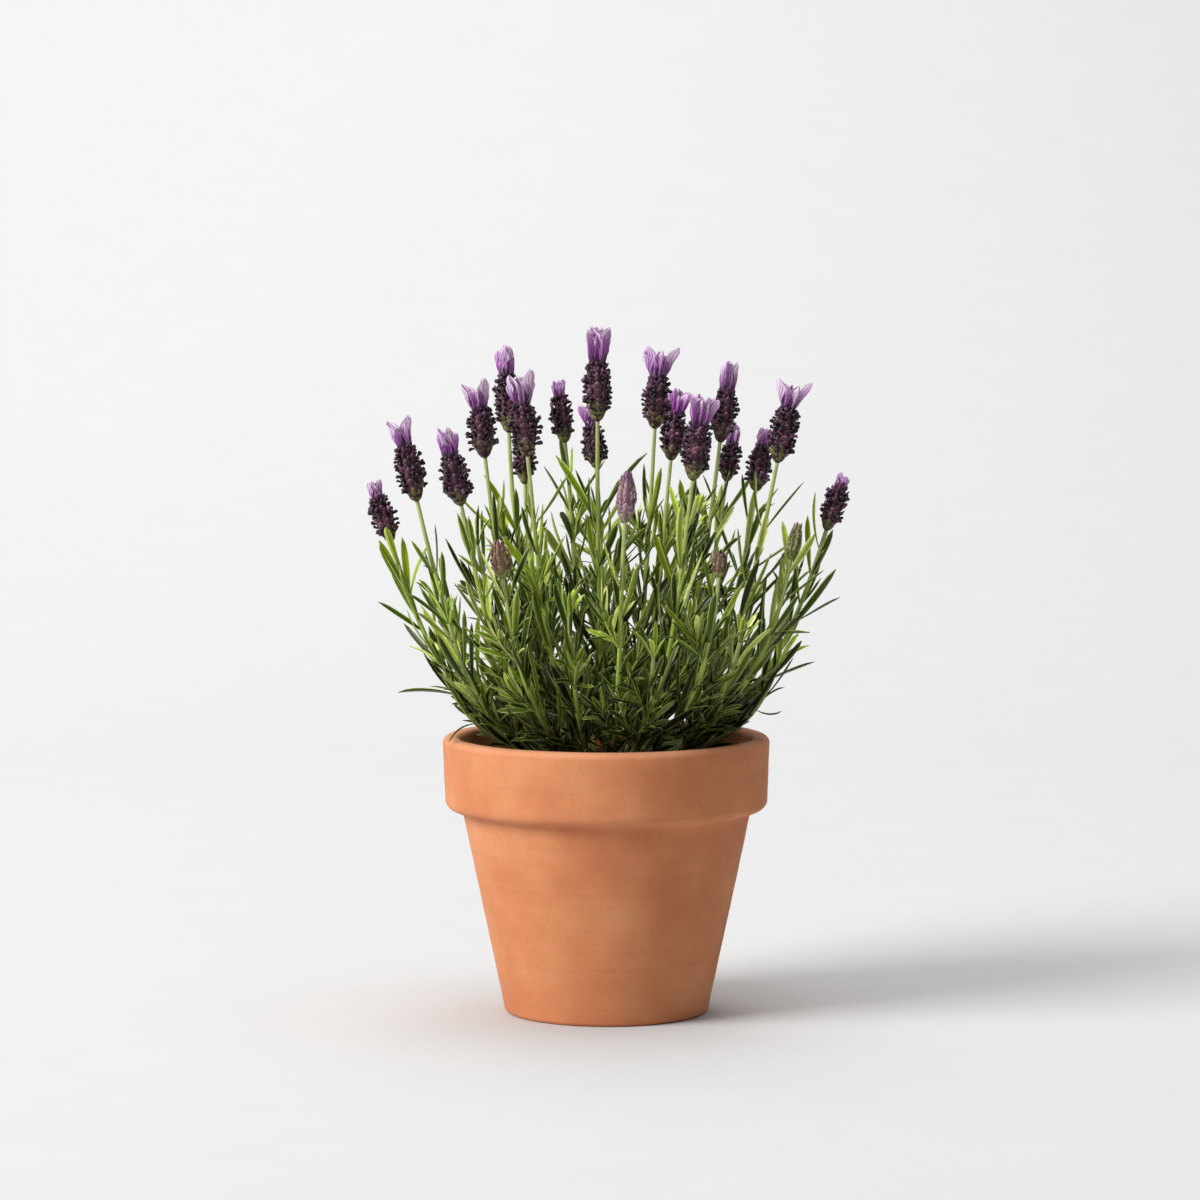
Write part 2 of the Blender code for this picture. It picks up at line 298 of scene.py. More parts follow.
@dataclass(frozen=True)
class Terracotta(Finish):
    """Fired earthenware, thrown in a mould on a turning table and left unglazed.

    It gives the eye a chalky orange with soft clouds from the kiln, fine pores, pale specks of
    lime and faint level lines from the turning.
    """

    cloud_mm: float = 26.0
    pore_mm: float = 0.5
    speck_mm: float = 0.7
    speck_room: float = 4.0  # a speck's cell is this much wider than the speck
    turning_line_mm: float = 1.6
    rim_mm: float = 101.8
    worn_mm: float = 3.0

    def surface(self, add: NodeAdder) -> dict[str, Any]:
        """Builds clouds, specks, turning lines and a paler worn lip.

        Args:
            add: Adds a node to the material.

        Returns:
            The shader's inputs by name.
        """
        place = add(PLACE).outputs["Object"]
        clouds = add(NOISE, {}, blotches(place, self.cloud_mm, 4.0))
        colour = add(RAMP, {"stops": ((0.28, "#C16F41"), (0.52, "#CB7D4B"), (0.76, "#D58F5F"))},
                     {"Fac": clouds})
        level = add(MAPPING, {}, {"Vector": place, "Scale": (0.02, 0.02, 1.0)})
        lines = add(NOISE, {}, blotches(level, self.turning_line_mm, 2.0, 0.6))
        line_tone = add(RAMP, {"stops": ((0.35, "#E9E9E9"), (0.62, "#FFFFFF"))}, {"Fac": lines})
        colour = add(MIX, DARKEN, {0: 0.25, 6: colour, 7: line_tone})
        specks = add("ShaderNodeTexVoronoi", {}, {
            "Vector": place, "Scale": 1.0 / (self.speck_mm * self.speck_room * MM)})
        near = add(MATH, {"operation": "LESS_THAN"}, {0: specks, 1: 0.07})
        pale = add(MATH, TIMES, {0: add(MATH, TIMES, {0: near, 1: clouds}), 1: 0.4})
        colour = add(MIX, BLEND, {0: pale, 6: colour, 7: "#E0AE88"})
        pores = add(NOISE, {}, blotches(place, self.pore_mm, 2.0))
        dark = add(RAMP, {"stops": ((0.30, "#CFCFCF"), (0.46, "#FFFFFF"))}, {"Fac": pores})
        colour = add(MIX, DARKEN, {0: 0.5, 6: colour, 7: dark})
        height = add(PARTS, {}, {"Vector": place}).outputs["Z"]
        to_rim = add(RANGE, {"interpolation_type": "SMOOTHSTEP"}, {
            "Value": height, "From Min": (self.rim_mm - self.worn_mm) * MM,
            "From Max": self.rim_mm * MM, "To Max": 0.4})
        worn = add(MATH, TIMES, {
            0: to_rim, 1: add(MATH, {"operation": "ADD"}, {0: clouds, 1: 0.3})})
        colour = add(MIX, BLEND, {0: worn, 6: colour, 7: "#DDA27E"})
        rough = add(RANGE, {}, {"Value": pores, "To Min": 0.78, "To Max": 0.92})
        grit = add(BUMP, {}, relief(pores, 0.12, 0.5))
        turned = add(BUMP, {}, {**relief(lines, 0.10, 0.35), "Normal": grit})
        return {"Base Color": colour, "Roughness": rough, "Specular IOR Level": 0.9, "Normal": turned}


@dataclass(frozen=True)
class PottingSoil(Finish):
    """Moist peat-based compost, crumbled and pressed into the pot.

    It gives the eye a near-black brown with a few pale crumbs of bark and a dull, uneven surface.
    """

    crumb_mm: float = 1.8
    bark_from: float = 0.93  # crumbs whose tone is above this are bark

    def surface(self, add: NodeAdder) -> dict[str, Any]:
        """Builds dark crumbs with a few paler ones.

        Args:
            add: Adds a node to the material.

        Returns:
            The shader's inputs by name.
        """
        place = add(PLACE).outputs["Object"]
        crumbs = add(NOISE, {}, blotches(place, self.crumb_mm, 4.0, 0.65))
        colour = add(RAMP, {"stops": ((0.30, "#1D1410"), (0.52, "#3A2A20"), (0.70, "#6B4E3A"))},
                     {"Fac": crumbs})
        tone = add(ATTRIBUTE, {"attribute_name": "tone"}).outputs["Fac"]
        bark = add(MATH, {"operation": "GREATER_THAN"}, {0: tone, 1: self.bark_from})
        colour = add(MIX, BLEND, {0: add(MATH, TIMES, {0: bark, 1: 0.8}), 6: colour, 7: "#A58C74"})
        lumps = add(NOISE, {}, blotches(place, 0.7, 3.0))
        return {"Base Color": colour, "Roughness": 0.95, "Normal": add(BUMP, {}, relief(lumps, 0.4, 0.8))}


@dataclass(frozen=True)
class LavenderLeaf(Finish):
    """A living lavender leaf, narrow and leathery with its margins rolled under.

    It gives the eye a mid to yellow green on top with a groove down the middle and pale margins,
    a duller underside, and darker leaves deep in the bush. The darker leaves deep in the bush and
    on its right are painted shade. The dark groove is painted shade in the crease. The pale margins
    and root grow paler where the leaf sits in the light, a painted highlight on their own paler colour.
    """

    groove_shade_width: float = 0.16

    def surface(self, add: NodeAdder) -> dict[str, Any]:
        """Builds a green by leaf, lighter at its root and along its margins, duller beneath, with painted
        shade deep in the bush and in the groove, and a painted highlight on the margins and root of lit
        leaves.

        Args:
            add: Adds a node to the material.

        Returns:
            The shader's inputs by name.
        """
        tone, rise, along, across, under = (
            add(ATTRIBUTE, {"attribute_name": name}).outputs["Fac"]
            for name in ("tone", "rise", "along", "across", "under"))
        # The light green is for leaves at the lit outside of the bush. The near-black green is painted shade
        # for leaves deep in the bush and on its right, and rise picks between them.
        lit_green = add(RAMP, {"stops": ((0.0, "#243C00"), (0.3, "#5E8006"), (0.65, "#C4DE2A"),
                                     (1.0, "#FCFF9C"))}, {"Fac": tone})
        deep = add(RAMP, {"stops": ((0.0, "#030500"), (0.5, "#0D1600"), (1.0, "#485E04"))},
                   {"Fac": tone})
        top = add(MIX, BLEND, {0: rise, 6: deep, 7: lit_green})
        # lit grows with rise, so the paler root and margins below are stronger where the leaf sits in the
        # light: a painted highlight on their own paler colour.
        lit = add(MATH, {"operation": "ADD"}, {0: add(MATH, TIMES, {0: rise, 1: 0.7}), 1: 0.3})
        root = add(RANGE, {}, {"Value": along, "From Max": 0.30, "To Min": 0.45, "To Max": 0.0})
        top = add(MIX, BLEND, {0: add(MATH, TIMES, {0: root, 1: lit}), 6: top, 7: "#B4CA62"})
        tip = add(RANGE, {}, {"Value": along, "From Min": 0.86, "From Max": 1.0, "To Max": 0.55})
        top = add(MIX, BLEND, {0: tip, 6: top, 7: "#4A5424"})
        away = add(MATH, {"operation": "ABSOLUTE"}, {0: across})
        # The groove down the middle is darkened as painted shade in the crease.
        groove = add(RANGE, {}, {
            "Value": away, "From Max": self.groove_shade_width, "To Min": 0.5, "To Max": 0.0})
        top = add(MIX, BLEND, {0: groove, 6: top, 7: "#1C3206"})
        margin = add(RANGE, {}, {"Value": away, "From Min": 0.68, "From Max": 1.0, "To Max": 0.8})
        top = add(MIX, BLEND, {0: add(MATH, TIMES, {0: margin, 1: lit}), 6: top, 7: "#FAFFB0"})
        beneath = add(MIX, BLEND, {0: tone, 6: "#3A4E10", 7: "#94A648"})
        # Undersides deep in the bush are darkened as painted shade.
        beneath = add(MIX, BLEND, {0: rise, 6: "#131B04", 7: beneath})
        colour = add(MIX, BLEND, {0: add(MATH, TIMES, {0: under, 1: 0.75}), 6: top, 7: beneath})
        place = add(PLACE).outputs["Object"]
        mottle = add(NOISE, {}, blotches(place, 2.2))
        shade = add(RAMP, {"stops": ((0.32, "#D4D4D4"), (0.62, "#FFFFFF"))}, {"Fac": mottle})
        colour = add(MIX, DARKEN, {0: 0.6, 6: colour, 7: shade})
        skin = add(NOISE, {}, blotches(place, 0.6, 2.0))
        return {"Base Color": colour, "Roughness": 0.34, "Specular IOR Level": 0.2,
                "Subsurface Weight": 0.06, "Subsurface Radius": (0.7, 1.0, 0.2),
                "Subsurface Scale": 0.8 * MM, "Normal": add(BUMP, {}, relief(skin, 0.05, 0.5))}


@dataclass(frozen=True)
class SquareStem(Finish):
    """A square lavender stem, green and downy above and turning woody at its foot.

    It gives the eye a pale yellow green that pales further up, and brown bark near the soil.
    """

    wood_top_mm: float = 104.0
    green_mm: float = 124.0

    def surface(self, add: NodeAdder) -> dict[str, Any]:
        """Builds brown bark low down, then green, then a pale bare stem under the flower.

        Args:
            add: Adds a node to the material.

        Returns:
            The shader's inputs by name.
        """
        place = add(PLACE).outputs["Object"]
        height = add(PARTS, {}, {"Vector": place}).outputs["Z"]
        woody = add(RANGE, {"interpolation_type": "SMOOTHSTEP"}, {
            "Value": height, "From Min": self.wood_top_mm * MM, "From Max": self.green_mm * MM,
            "To Min": 1.0, "To Max": 0.0})
        drawn = add(MAPPING, {}, {"Vector": place, "Scale": (1.0, 1.0, 0.12)})
        streak = add(NOISE, {}, blotches(drawn, 0.5, 2.0))
        along = add(ATTRIBUTE, {"attribute_name": "along"}).outputs["Fac"]
        green = add(RAMP, {"stops": ((0.0, "#9AB545"), (0.6, "#A4BC4C"), (0.85, "#AAB662"),
                                     (1.0, "#B4BB7C"))}, {"Fac": along})
        bark = add(RAMP, {"stops": ((0.35, "#4D3E26"), (0.6, "#7C6A45"))}, {"Fac": streak})
        colour = add(MIX, BLEND, {0: add(MATH, TIMES, {0: woody, 1: 0.7}), 6: green, 7: bark})
        lines = add(RAMP, {"stops": ((0.36, "#C8C8C8"), (0.60, "#FFFFFF"))}, {"Fac": streak})
        colour = add(MIX, DARKEN, {0: 0.6, 6: colour, 7: lines})
        return {"Base Color": colour, "Roughness": 0.55,
                "Normal": add(BUMP, {}, relief(streak, 0.08, 0.6))}


@dataclass(frozen=True)
class SpikeScale(Finish):
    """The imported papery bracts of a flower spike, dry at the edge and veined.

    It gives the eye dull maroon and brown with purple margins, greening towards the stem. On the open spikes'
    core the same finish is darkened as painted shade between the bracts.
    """

    low: str = "#8C8A4C"
    middle: str = "#6C3A4E"
    high: str = "#62285A"
    margin: str = "#D0A2BC"

    def surface(self, add: NodeAdder) -> dict[str, Any]:
        """Builds a colour by height on the spike, with lighter margins and fine veins, darkened by a tone
        that is random from bract to bract and low on the open spikes' core, as painted shade between the
        bracts.

        Args:
            add: Adds a node to the material.

        Returns:
            The shader's inputs by name.
        """
        rise, tone, along, across = (
            add(ATTRIBUTE, {"attribute_name": name}).outputs["Fac"]
            for name in ("rise", "tone", "along", "across"))
        colour = add(RAMP, {"stops": ((0.0, self.low), (0.10, self.low), (0.30, self.middle),
                                      (0.75, self.middle), (1.0, self.high))}, {"Fac": rise})
        away = add(MATH, {"operation": "ABSOLUTE"}, {0: across})
        edge = add(RANGE, {}, {"Value": away, "From Min": 0.6, "From Max": 1.0, "To Max": 0.5})
        tip = add(RANGE, {}, {"Value": along, "From Min": 0.7, "From Max": 1.0, "To Max": 0.55})
        dry = add(RAMP, {"stops": ((0.06, "#C4C08A"), (0.30, self.margin))}, {"Fac": rise})
        rim = add(MATH, {"operation": "MAXIMUM"}, {0: edge, 1: tip})
        colour = add(MIX, BLEND, {0: rim, 6: colour, 7: dry})
        # Tone darkens each bract at random; on the open spikes' core it is low, as painted shade between the
        # bracts.
        tone_and_core_shade = add(RAMP, {"stops": ((0.0, "#585858"), (0.5, "#C6C6C6"), (1.0, "#FFFFFF"))},
                     {"Fac": tone})
        colour = add(MIX, DARKEN, {0: 0.8, 6: colour, 7: tone_and_core_shade})
        place = add(PLACE).outputs["Object"]
        fibres = add(NOISE, {}, blotches(place, 0.45))
        veins = add(RAMP, {"stops": ((0.38, "#6E6E6E"), (0.58, "#FFFFFF"))}, {"Fac": fibres})
        colour = add(MIX, DARKEN, {0: 0.6, 6: colour, 7: veins})
        return {"Base Color": colour, "Roughness": 0.5, "Specular IOR Level": 0.3,
                "Normal": add(BUMP, {}, relief(fibres, 0.08, 0.6))}


@dataclass(frozen=True)
class TinyFloret(Finish):
    """The small tubular flowers that open between the bracts.

    It gives the eye near-black purple beads with a faint shine and a few painted pink glints.
    """

    def surface(self, add: NodeAdder) -> dict[str, Any]:
        """Builds a near black, with a few paler florets whose pink is a painted glint.

        Args:
            add: Adds a node to the material.

        Returns:
            The shader's inputs by name.
        """
        tone, along = (add(ATTRIBUTE, {"attribute_name": name}).outputs["Fac"]
                       for name in ("tone", "along"))
        # The pale pink at the top of the tone ramp is a painted glint on a few florets.
        colour = add(RAMP, {"stops": ((0.0, "#160713"), (0.7, "#2C0F27"), (0.92, "#4C1F44"),
                                      (1.0, "#A06A98"))}, {"Fac": tone})
        mouth = add(MATH, TIMES, {0: along, 1: 0.4})
        colour = add(MIX, BLEND, {0: mouth, 6: colour, 7: "#110812"})
        skin = add(NOISE, {}, blotches(add(PLACE).outputs["Object"], 0.4, 2.0))
        return {"Base Color": colour, "Roughness": 0.38, "Normal": add(BUMP, {}, relief(skin, 0.06, 0.5))}


@dataclass(frozen=True)
class VioletComa(Finish):
    """The petal-like bracts that stand on top of an open spike.

    It gives the eye violet at the root, paling to lilac at the tip, with darker veins lengthwise
    and light that seems to soak into the thin blade.
    """

    root: str = "#540A60"
    middle: str = "#BC4EC4"
    tip: str = "#F2BEF2"

    def surface(self, add: NodeAdder) -> dict[str, Any]:
        """Builds violet by length, streaked by veins across the width.

        Args:
            add: Adds a node to the material.

        Returns:
            The shader's inputs by name.
        """
        tone, along, across = (add(ATTRIBUTE, {"attribute_name": name}).outputs["Fac"]
                               for name in ("tone", "along", "across"))
        colour = add(RAMP, {"stops": ((0.0, self.root), (0.22, self.root), (0.55, self.middle),
                                      (1.0, self.tip))}, {"Fac": along})
        blade = add("ShaderNodeCombineXYZ", {}, {"X": across, "Y": along})
        veins = add("ShaderNodeTexWave", {"wave_type": "BANDS", "bands_direction": "X"}, {
            "Vector": blade, "Scale": 1.3, "Distortion": 2.2, "Detail": 2.0,
            "Detail Scale": 1.5}).outputs["Fac"]
        streak = add(RAMP, {"stops": ((0.08, "#481858"), (0.40, "#FFFFFF"))}, {"Fac": veins})
        away = add(MATH, {"operation": "ABSOLUTE"}, {0: across})
        margin = add(RANGE, {}, {"Value": away, "From Min": 0.55, "From Max": 1.0, "To Max": 0.55})
        pale = add(MATH, {"operation": "SUBTRACT", "use_clamp": True}, {0: tone, 1: 0.40})
        pale = add(MATH, TIMES, {0: pale, 1: 1.7})
        pale = add(MATH, {"operation": "MAXIMUM"}, {0: pale, 1: margin})
        pale = add(MATH, {"operation": "MULTIPLY", "use_clamp": True}, {0: pale, 1: along})
        colour = add(MIX, BLEND, {0: pale, 6: colour, 7: "#FFECFF"})
        colour = add(MIX, DARKEN, {0: 0.85, 6: colour, 7: streak})
        return {"Base Color": colour, "Roughness": 0.55, "Sheen Weight": 0.15,
                "Subsurface Weight": 0.35, "Subsurface Radius": (1.0, 0.45, 1.0),
                "Subsurface Scale": 0.9 * MM, "Normal": add(BUMP, {}, relief(veins, 0.10, 0.5))}


@dataclass(frozen=True)
class StudioPaper(Finish):
    """Seamless background paper under the object: a plain matt off-white."""

    def surface(self, add: NodeAdder) -> dict[str, Any]:
        """Builds an even off-white with the least tooth.

        Args:
            add: Adds a node to the material.

        Returns:
            The shader's inputs by name.
        """
        tooth = add(NOISE, {}, blotches(add(PLACE).outputs["Object"], 40.0, 2.0))
        colour = add(RAMP, {"stops": ((0.0, "#C8C8C8"), (1.0, "#CBCBCB"))}, {"Fac": tooth})
        return {"Base Color": colour, "Roughness": 0.9, "Specular IOR Level": 0.1}


TERRACOTTA = Terracotta("fired_terracotta")
POTTING_SOIL = PottingSoil("moist_potting_soil")
LEAF = LavenderLeaf("lavender_leaf")
STEM = SquareStem("lavender_stem")
SCALE = SpikeScale("maroon_spike_bract")
BROWN_SCALE = SpikeScale("brown_bud_bract", "#A8A868", "#A87C6C", "#86605A", "#CFAE9A")
PINK_SCALE = SpikeScale("pink_bud_bract", "#B8A890", "#B88498", "#A468A2", "#F0D4E4")
GREEN_SCALE = SpikeScale("green_bud_bract", "#9CAC60", "#B0AE70", "#A09270", "#D0CA9C")
FLORET = TinyFloret("dark_purple_floret")
COMA = VioletComa("violet_coma_bract")
PAPER = StudioPaper("studio_background_paper")


# ------------------------------------------------------------------------------ grown shapes

@dataclass(frozen=True)
class Blade:
    """A thin closed blade of unit length: root at the origin, tip up +Z, upper face to +Y.

    outline gives (share of length, share of width), aspect is its width over its length, bend and
    twist are radians over the length, fold and cup are the depth of its channel, ripple the wave
    of its margins, and thickness a share of its length.
    """

    outline: tuple[tuple[float, float], ...]
    aspect: float = 0.1
    bend: float = 0.3
    twist: float = 0.0
    fold: float = 0.12
    cup: float = 0.0
    ripple: float = 0.0
    thickness: float = 0.02
    sections: int = 8
    strips: int = 2

    def sharpen(self, mesh: bpy.types.Mesh) -> None:
        """Marks the lengthwise edges of the margins, and of a narrow leaf's fold, as sharp.

        Args:
            mesh: The blade, which is changed in place.
        """
        around = 2 * self.strips
        ends = np.zeros(2 * len(mesh.edges), np.int32)
        mesh.edges.foreach_get("vertices", ends)
        low, high = np.sort(ends.reshape(-1, 2), axis=1).T
        ridges = range(around) if self.strips == 2 else (0, self.strips)
        sharp = (high - low == around) & np.isin(low % around, list(ridges))
        mesh.edges.foreach_set("use_edge_sharp", sharp)

    def mesh(self, name: str) -> bpy.types.Mesh:
        """Builds the blade, with along, across and under stored on its points.

        Args:
            name: The mesh's name.

        Returns:
            One closed blade of unit length, along +Z.
        """
        shares, widths = zip(*self.outline)
        points, along, across, under = [], [], [], []
        centre, angle = np.zeros(3), 0.0
        step = 1.0 / self.sections
        for i in range(self.sections + 1):
            s = i * step
            angle = self.bend * s**1.3
            ahead = np.array([0.0, -math.sin(angle), math.cos(angle)])
            facing = np.array([0.0, math.cos(angle), math.sin(angle)])
            if i:
                centre = centre + ahead * step
            turn = self.twist * s
            side = np.array([math.cos(turn), 0.0, 0.0]) + facing * math.sin(turn)
            normal = facing * math.cos(turn) - np.array([math.sin(turn), 0.0, 0.0])
            half = float(np.interp(s, shares, widths)) * self.aspect / 2.0
            thick = self.thickness * (0.4 + 0.6 * min(1.0, 2.0 * half / self.aspect))
            for lower in (False, True):
                places = np.linspace(-1.0, 1.0, self.strips + 1)
                if lower:
                    places = places[::-1][1:-1]
                for u in places:
                    lift = self.fold * half * abs(u) + self.cup * half * (u * u - 0.5)
                    lift += self.ripple * half * u * math.sin(9.0 * s + 2.0 * u)
                    depth = -thick if lower else 0.0
                    edge = thick * 0.5 if abs(u) == 1.0 else 0.0
                    points.append(centre + side * u * half + normal * (lift + depth - edge))
                    along.append(s)
                    across.append(u)
                    under.append(1.0 if lower else 0.0)
        around = 2 * self.strips
        mesh = smooth_mesh(name, np.array(points), ring_faces(self.sections + 1, around))
        self.sharpen(mesh)
        for label, values in (("along", along), ("across", across), ("under", under)):
            store(mesh, label, values)
        return mesh


@dataclass(frozen=True)
class Bead:
    """A small turned body of unit length and width along +Z, such as a floret or a spike's core."""

    outline: tuple[tuple[float, float], ...]
    around: int = 6
    lobes: int = 0
    lobe_depth: float = 0.0
    bend: float = 0.0

    def mesh(self, name: str) -> bpy.types.Mesh:
        """Builds the body, with along, across and under stored on its points.

        Args:
            name: The mesh's name.

        Returns:
            One closed body of unit length, along +Z.
        """
        points, along, across = [], [], []
        for s, width in self.outline:
            for k in range(self.around):
                angle = math.tau * k / self.around
                wave = 1.0 + self.lobe_depth * s * math.cos(self.lobes * angle)
                radius = width / 2.0 * wave
                points.append((radius * math.cos(angle), radius * math.sin(angle) - self.bend * s * s, s))
                along.append(s)
                across.append(0.0)
        mesh = smooth_mesh(name, np.array(points), ring_faces(len(self.outline), self.around))
        for label, values in (("along", along), ("across", across), ("under", across)):
            store(mesh, label, values)
        return mesh


# Outlines: a share of the length, then the half width there as a share of the widest.
LEAF_OUTLINE = ((0.0, 0.34), (0.12, 0.50), (0.32, 0.84), (0.55, 1.0), (0.76, 0.96), (0.90, 0.70),
                (0.97, 0.40), (1.0, 0.14))
SCALE_OUTLINE = ((0.0, 0.45), (0.25, 0.92), (0.5, 1.0), (0.75, 0.72), (0.92, 0.30), (1.0, 0.06))
COMA_OUTLINE = ((0.0, 0.36), (0.22, 0.50), (0.50, 0.78), (0.74, 1.0), (0.88, 0.84), (0.96, 0.45), (1.0, 0.12))
FLORET_OUTLINE = ((0.0, 0.45), (0.35, 0.60), (0.62, 0.95), (0.85, 1.0), (1.0, 0.55))
CORE_OUTLINE = ((0.0, 0.22), (0.05, 0.5), (0.18, 0.84), (0.4, 1.0), (0.7, 0.95), (0.9, 0.66), (1.0, 0.2))
CRUMB_OUTLINE = ((0.0, 0.35), (0.3, 0.95), (0.65, 0.9), (1.0, 0.3))


class Shapes(Enum):
    """The families of small shapes that are set out in their hundreds."""

    LEAF = "leaf"
    LEAFLET = "leaflet"
    SCALE = "scale"
    CORE = "core"
    FLORET = "floret"
    COMA = "coma"
    CRUMB = "crumb"

    def aspect(self) -> float | None:
        """Width over length of this family's blades, or None where its shapes are round."""
        return {Shapes.LEAF: 0.10, Shapes.LEAFLET: 0.17, Shapes.SCALE: 0.85, Shapes.COMA: 0.40}.get(self)

    def variants(self) -> list[Blade | Bead]:
        """Returns this family's members, in the order that a seat's variant number picks.

        Returns:
            The blades or beads, unbuilt.
        """
        if self is Shapes.LEAF:
            return [Blade(LEAF_OUTLINE, self.aspect(), bend, twist, 0.5)
                    for bend, twist in ((-0.45, 0.3), (-0.2, -0.4), (0.05, 0.5), (0.4, -0.5), (0.95, 0.8))]
        if self is Shapes.LEAFLET:
            return [Blade(LEAF_OUTLINE, self.aspect(), bend, 0.2, 0.5, sections=5)
                    for bend in (-0.35, 0.1, 0.5)]
        if self is Shapes.SCALE:
            return [Blade(SCALE_OUTLINE, self.aspect(), bend, 0.0, 0.0, 0.5, 0.15, 0.05, 5, 4)
                    for bend in (-0.5, -0.2, 0.15)]
        if self is Shapes.CORE:
            return [Bead(CORE_OUTLINE, 14)]
        if self is Shapes.FLORET:
            return [Bead(FLORET_OUTLINE, 6, 3, depth, bend)
                    for depth, bend in ((0.2, 0.1), (0.35, -0.1), (0.1, 0.25))]
        if self is Shapes.COMA:
            kinds = ((-0.20, 0.15, 0.9, 0.45), (-0.60, -0.3, 1.5, 0.5), (0.05, 0.5, 1.1, 0.6),
                     (0.25, -0.5, 1.2, 0.5), (-0.45, 0.7, 1.7, 0.5), (-0.05, -0.25, 1.2, 0.8))
            return [Blade(COMA_OUTLINE, self.aspect(), bend, twist, 0.0, cup, ripple, 0.02, 12, 6)
                    for bend, twist, cup, ripple in kinds]
        return [Bead(CRUMB_OUTLINE, 5, 2, depth, bend)
                for depth, bend in ((0.3, 0.2), (0.5, -0.2), (0.2, 0.4))]

    def collection(self) -> bpy.types.Collection:
        """Returns a collection of this family's meshes, made on first use and kept out of the scene.

        Returns:
            The collection, whose objects have the members' own order.
        """
        found = bpy.data.collections.get(self.value)
        if found:
            return found
        made = bpy.data.collections.new(self.value)
        for i, shape in enumerate(self.variants()):
            name = f"{self.value}_shape_{i}"
            made.objects.link(bpy.data.objects.new(name, shape.mesh(name)))
        return made


def discard_shapes() -> None:
    """Removes the shapes' own objects once everything has been grown from them."""
    for family in Shapes:
        held = bpy.data.collections.get(family.value)
        if held:
            for shape in list(held.objects):
                bpy.data.objects.remove(shape, do_unlink=True)
            bpy.data.collections.remove(held)


# ------------------------------------------------------------------------------ Geometry Nodes

def new_tree(name: str, inputs: Iterable[tuple[str, str]]) -> bpy.types.NodeTree:
    """Starts a Geometry Nodes tree with named inputs and one geometry output.

    Args:
        name: The tree's name.
        inputs: Each input's name and kind of socket.

    Returns:
        The tree, with no nodes yet.
    """
    tree = bpy.data.node_groups.new(name, "GeometryNodeTree")
    for label, kind in inputs:
        tree.interface.new_socket(label, in_out="INPUT", socket_type="NodeSocket" + kind)
    tree.interface.new_socket("Geometry", in_out="OUTPUT", socket_type="NodeSocketGeometry")
    return tree


def seat_tree() -> bpy.types.NodeTree:
    """Builds the tree that grows one shape on each seat, turned, sized and picked by its values.

    Returns:
        The tree, built on first use.
    """
    found = bpy.data.node_groups.get("grow_on_seats")
    if found:
        return found
    tree = new_tree("grow_on_seats", [("Geometry", "Geometry"), ("Shapes", "Collection"),
                                      ("Width", "Float"), ("Length", "Float"), ("Finish", "Material")])
    add = partial(add_node, tree)
    given = add("NodeGroupInput").outputs
    size, variant, turn = (
        add(NAMED, {"data_type": kind}, {"Name": name})
        for name, kind in (("size", "FLOAT_VECTOR"), ("variant", "INT"), ("turn", "FLOAT_VECTOR")))
    family = add("GeometryNodeCollectionInfo", {}, {
        "Collection": given["Shapes"], "Separate Children": True, "Reset Children": True})
    stretch = add("ShaderNodeCombineXYZ", {}, {
        "X": given["Width"], "Y": given["Length"], "Z": given["Length"]})
    scale = add("ShaderNodeVectorMath", TIMES, {0: size, 1: stretch})
    placed = add("GeometryNodeInstanceOnPoints", {}, {
        "Points": given["Geometry"], "Instance": family, "Pick Instance": True,
        "Instance Index": variant, "Rotation": turn, "Scale": scale})
    real = add("GeometryNodeRealizeInstances", {}, {"Geometry": placed})
    dressed = add("GeometryNodeSetMaterial", {}, {"Geometry": real, "Material": given["Finish"]})
    add("NodeGroupOutput", {}, {"Geometry": dressed})
    return tree


def stem_tree() -> bpy.types.NodeTree:
    """Builds the tree that sweeps a square section with rounded corners along each path.

    Returns:
        The tree, built on first use.
    """
    found = bpy.data.node_groups.get("sweep_stems")
    if found:
        return found
    tree = new_tree("sweep_stems", [("Geometry", "Geometry"), ("Side", "Float"), ("Corner", "Float"),
                                    ("Finish", "Material")])
    add = partial(add_node, tree)
    given = add("NodeGroupInput").outputs
    path = add("GeometryNodeMeshToCurve", {}, {"Mesh": given["Geometry"]})
    square = add("GeometryNodeCurvePrimitiveQuadrilateral", {}, {
        "Width": given["Side"], "Height": given["Side"]})
    section = add("GeometryNodeFilletCurve", {"mode": "POLY"}, {
        "Curve": square, "Count": 1, "Radius": given["Corner"]})
    radius = add(NAMED, {"data_type": "FLOAT"}, {"Name": "radius"})
    swept = add("GeometryNodeCurveToMesh", {}, {
        "Curve": path, "Profile Curve": section, "Scale": radius, "Fill Caps": True})
    smooth = add("GeometryNodeSetShadeSmooth", {}, {"Geometry": swept})
    real = add("GeometryNodeRealizeInstances", {}, {"Geometry": smooth})
    dressed = add("GeometryNodeSetMaterial", {}, {"Geometry": real, "Material": given["Finish"]})
    add("NodeGroupOutput", {}, {"Geometry": dressed})
    return tree


def run_tree(name: str, mesh: bpy.types.Mesh, tree: bpy.types.NodeTree,
             values: dict[str, Any]) -> bpy.types.Object:
    """Runs a Geometry Nodes tree on a mesh and keeps the result as a plain mesh object.

    Args:
        name: The finished object's name.
        mesh: What the tree reads.
        tree: The tree.
        values: The value of each of the tree's inputs, by its name.

    Returns:
        A new object at the origin, with no modifier.
    """
    carrier = mesh_object(name + "_seats", mesh)
    modifier = carrier.modifiers.new("grow", "NODES")
    modifier.node_group = tree
    for item in tree.interface.items_tree:
        if item.item_type == "SOCKET" and item.in_out == "INPUT" and item.name in values:
            modifier[item.identifier] = values[item.name]
    evaluated = carrier.evaluated_get(bpy.context.evaluated_depsgraph_get())
    grown = bpy.data.meshes.new_from_object(evaluated)
    carrier.modifiers.remove(modifier)
    bpy.data.objects.remove(carrier, do_unlink=True)
    grown.name = name
    return mesh_object(name, grown)


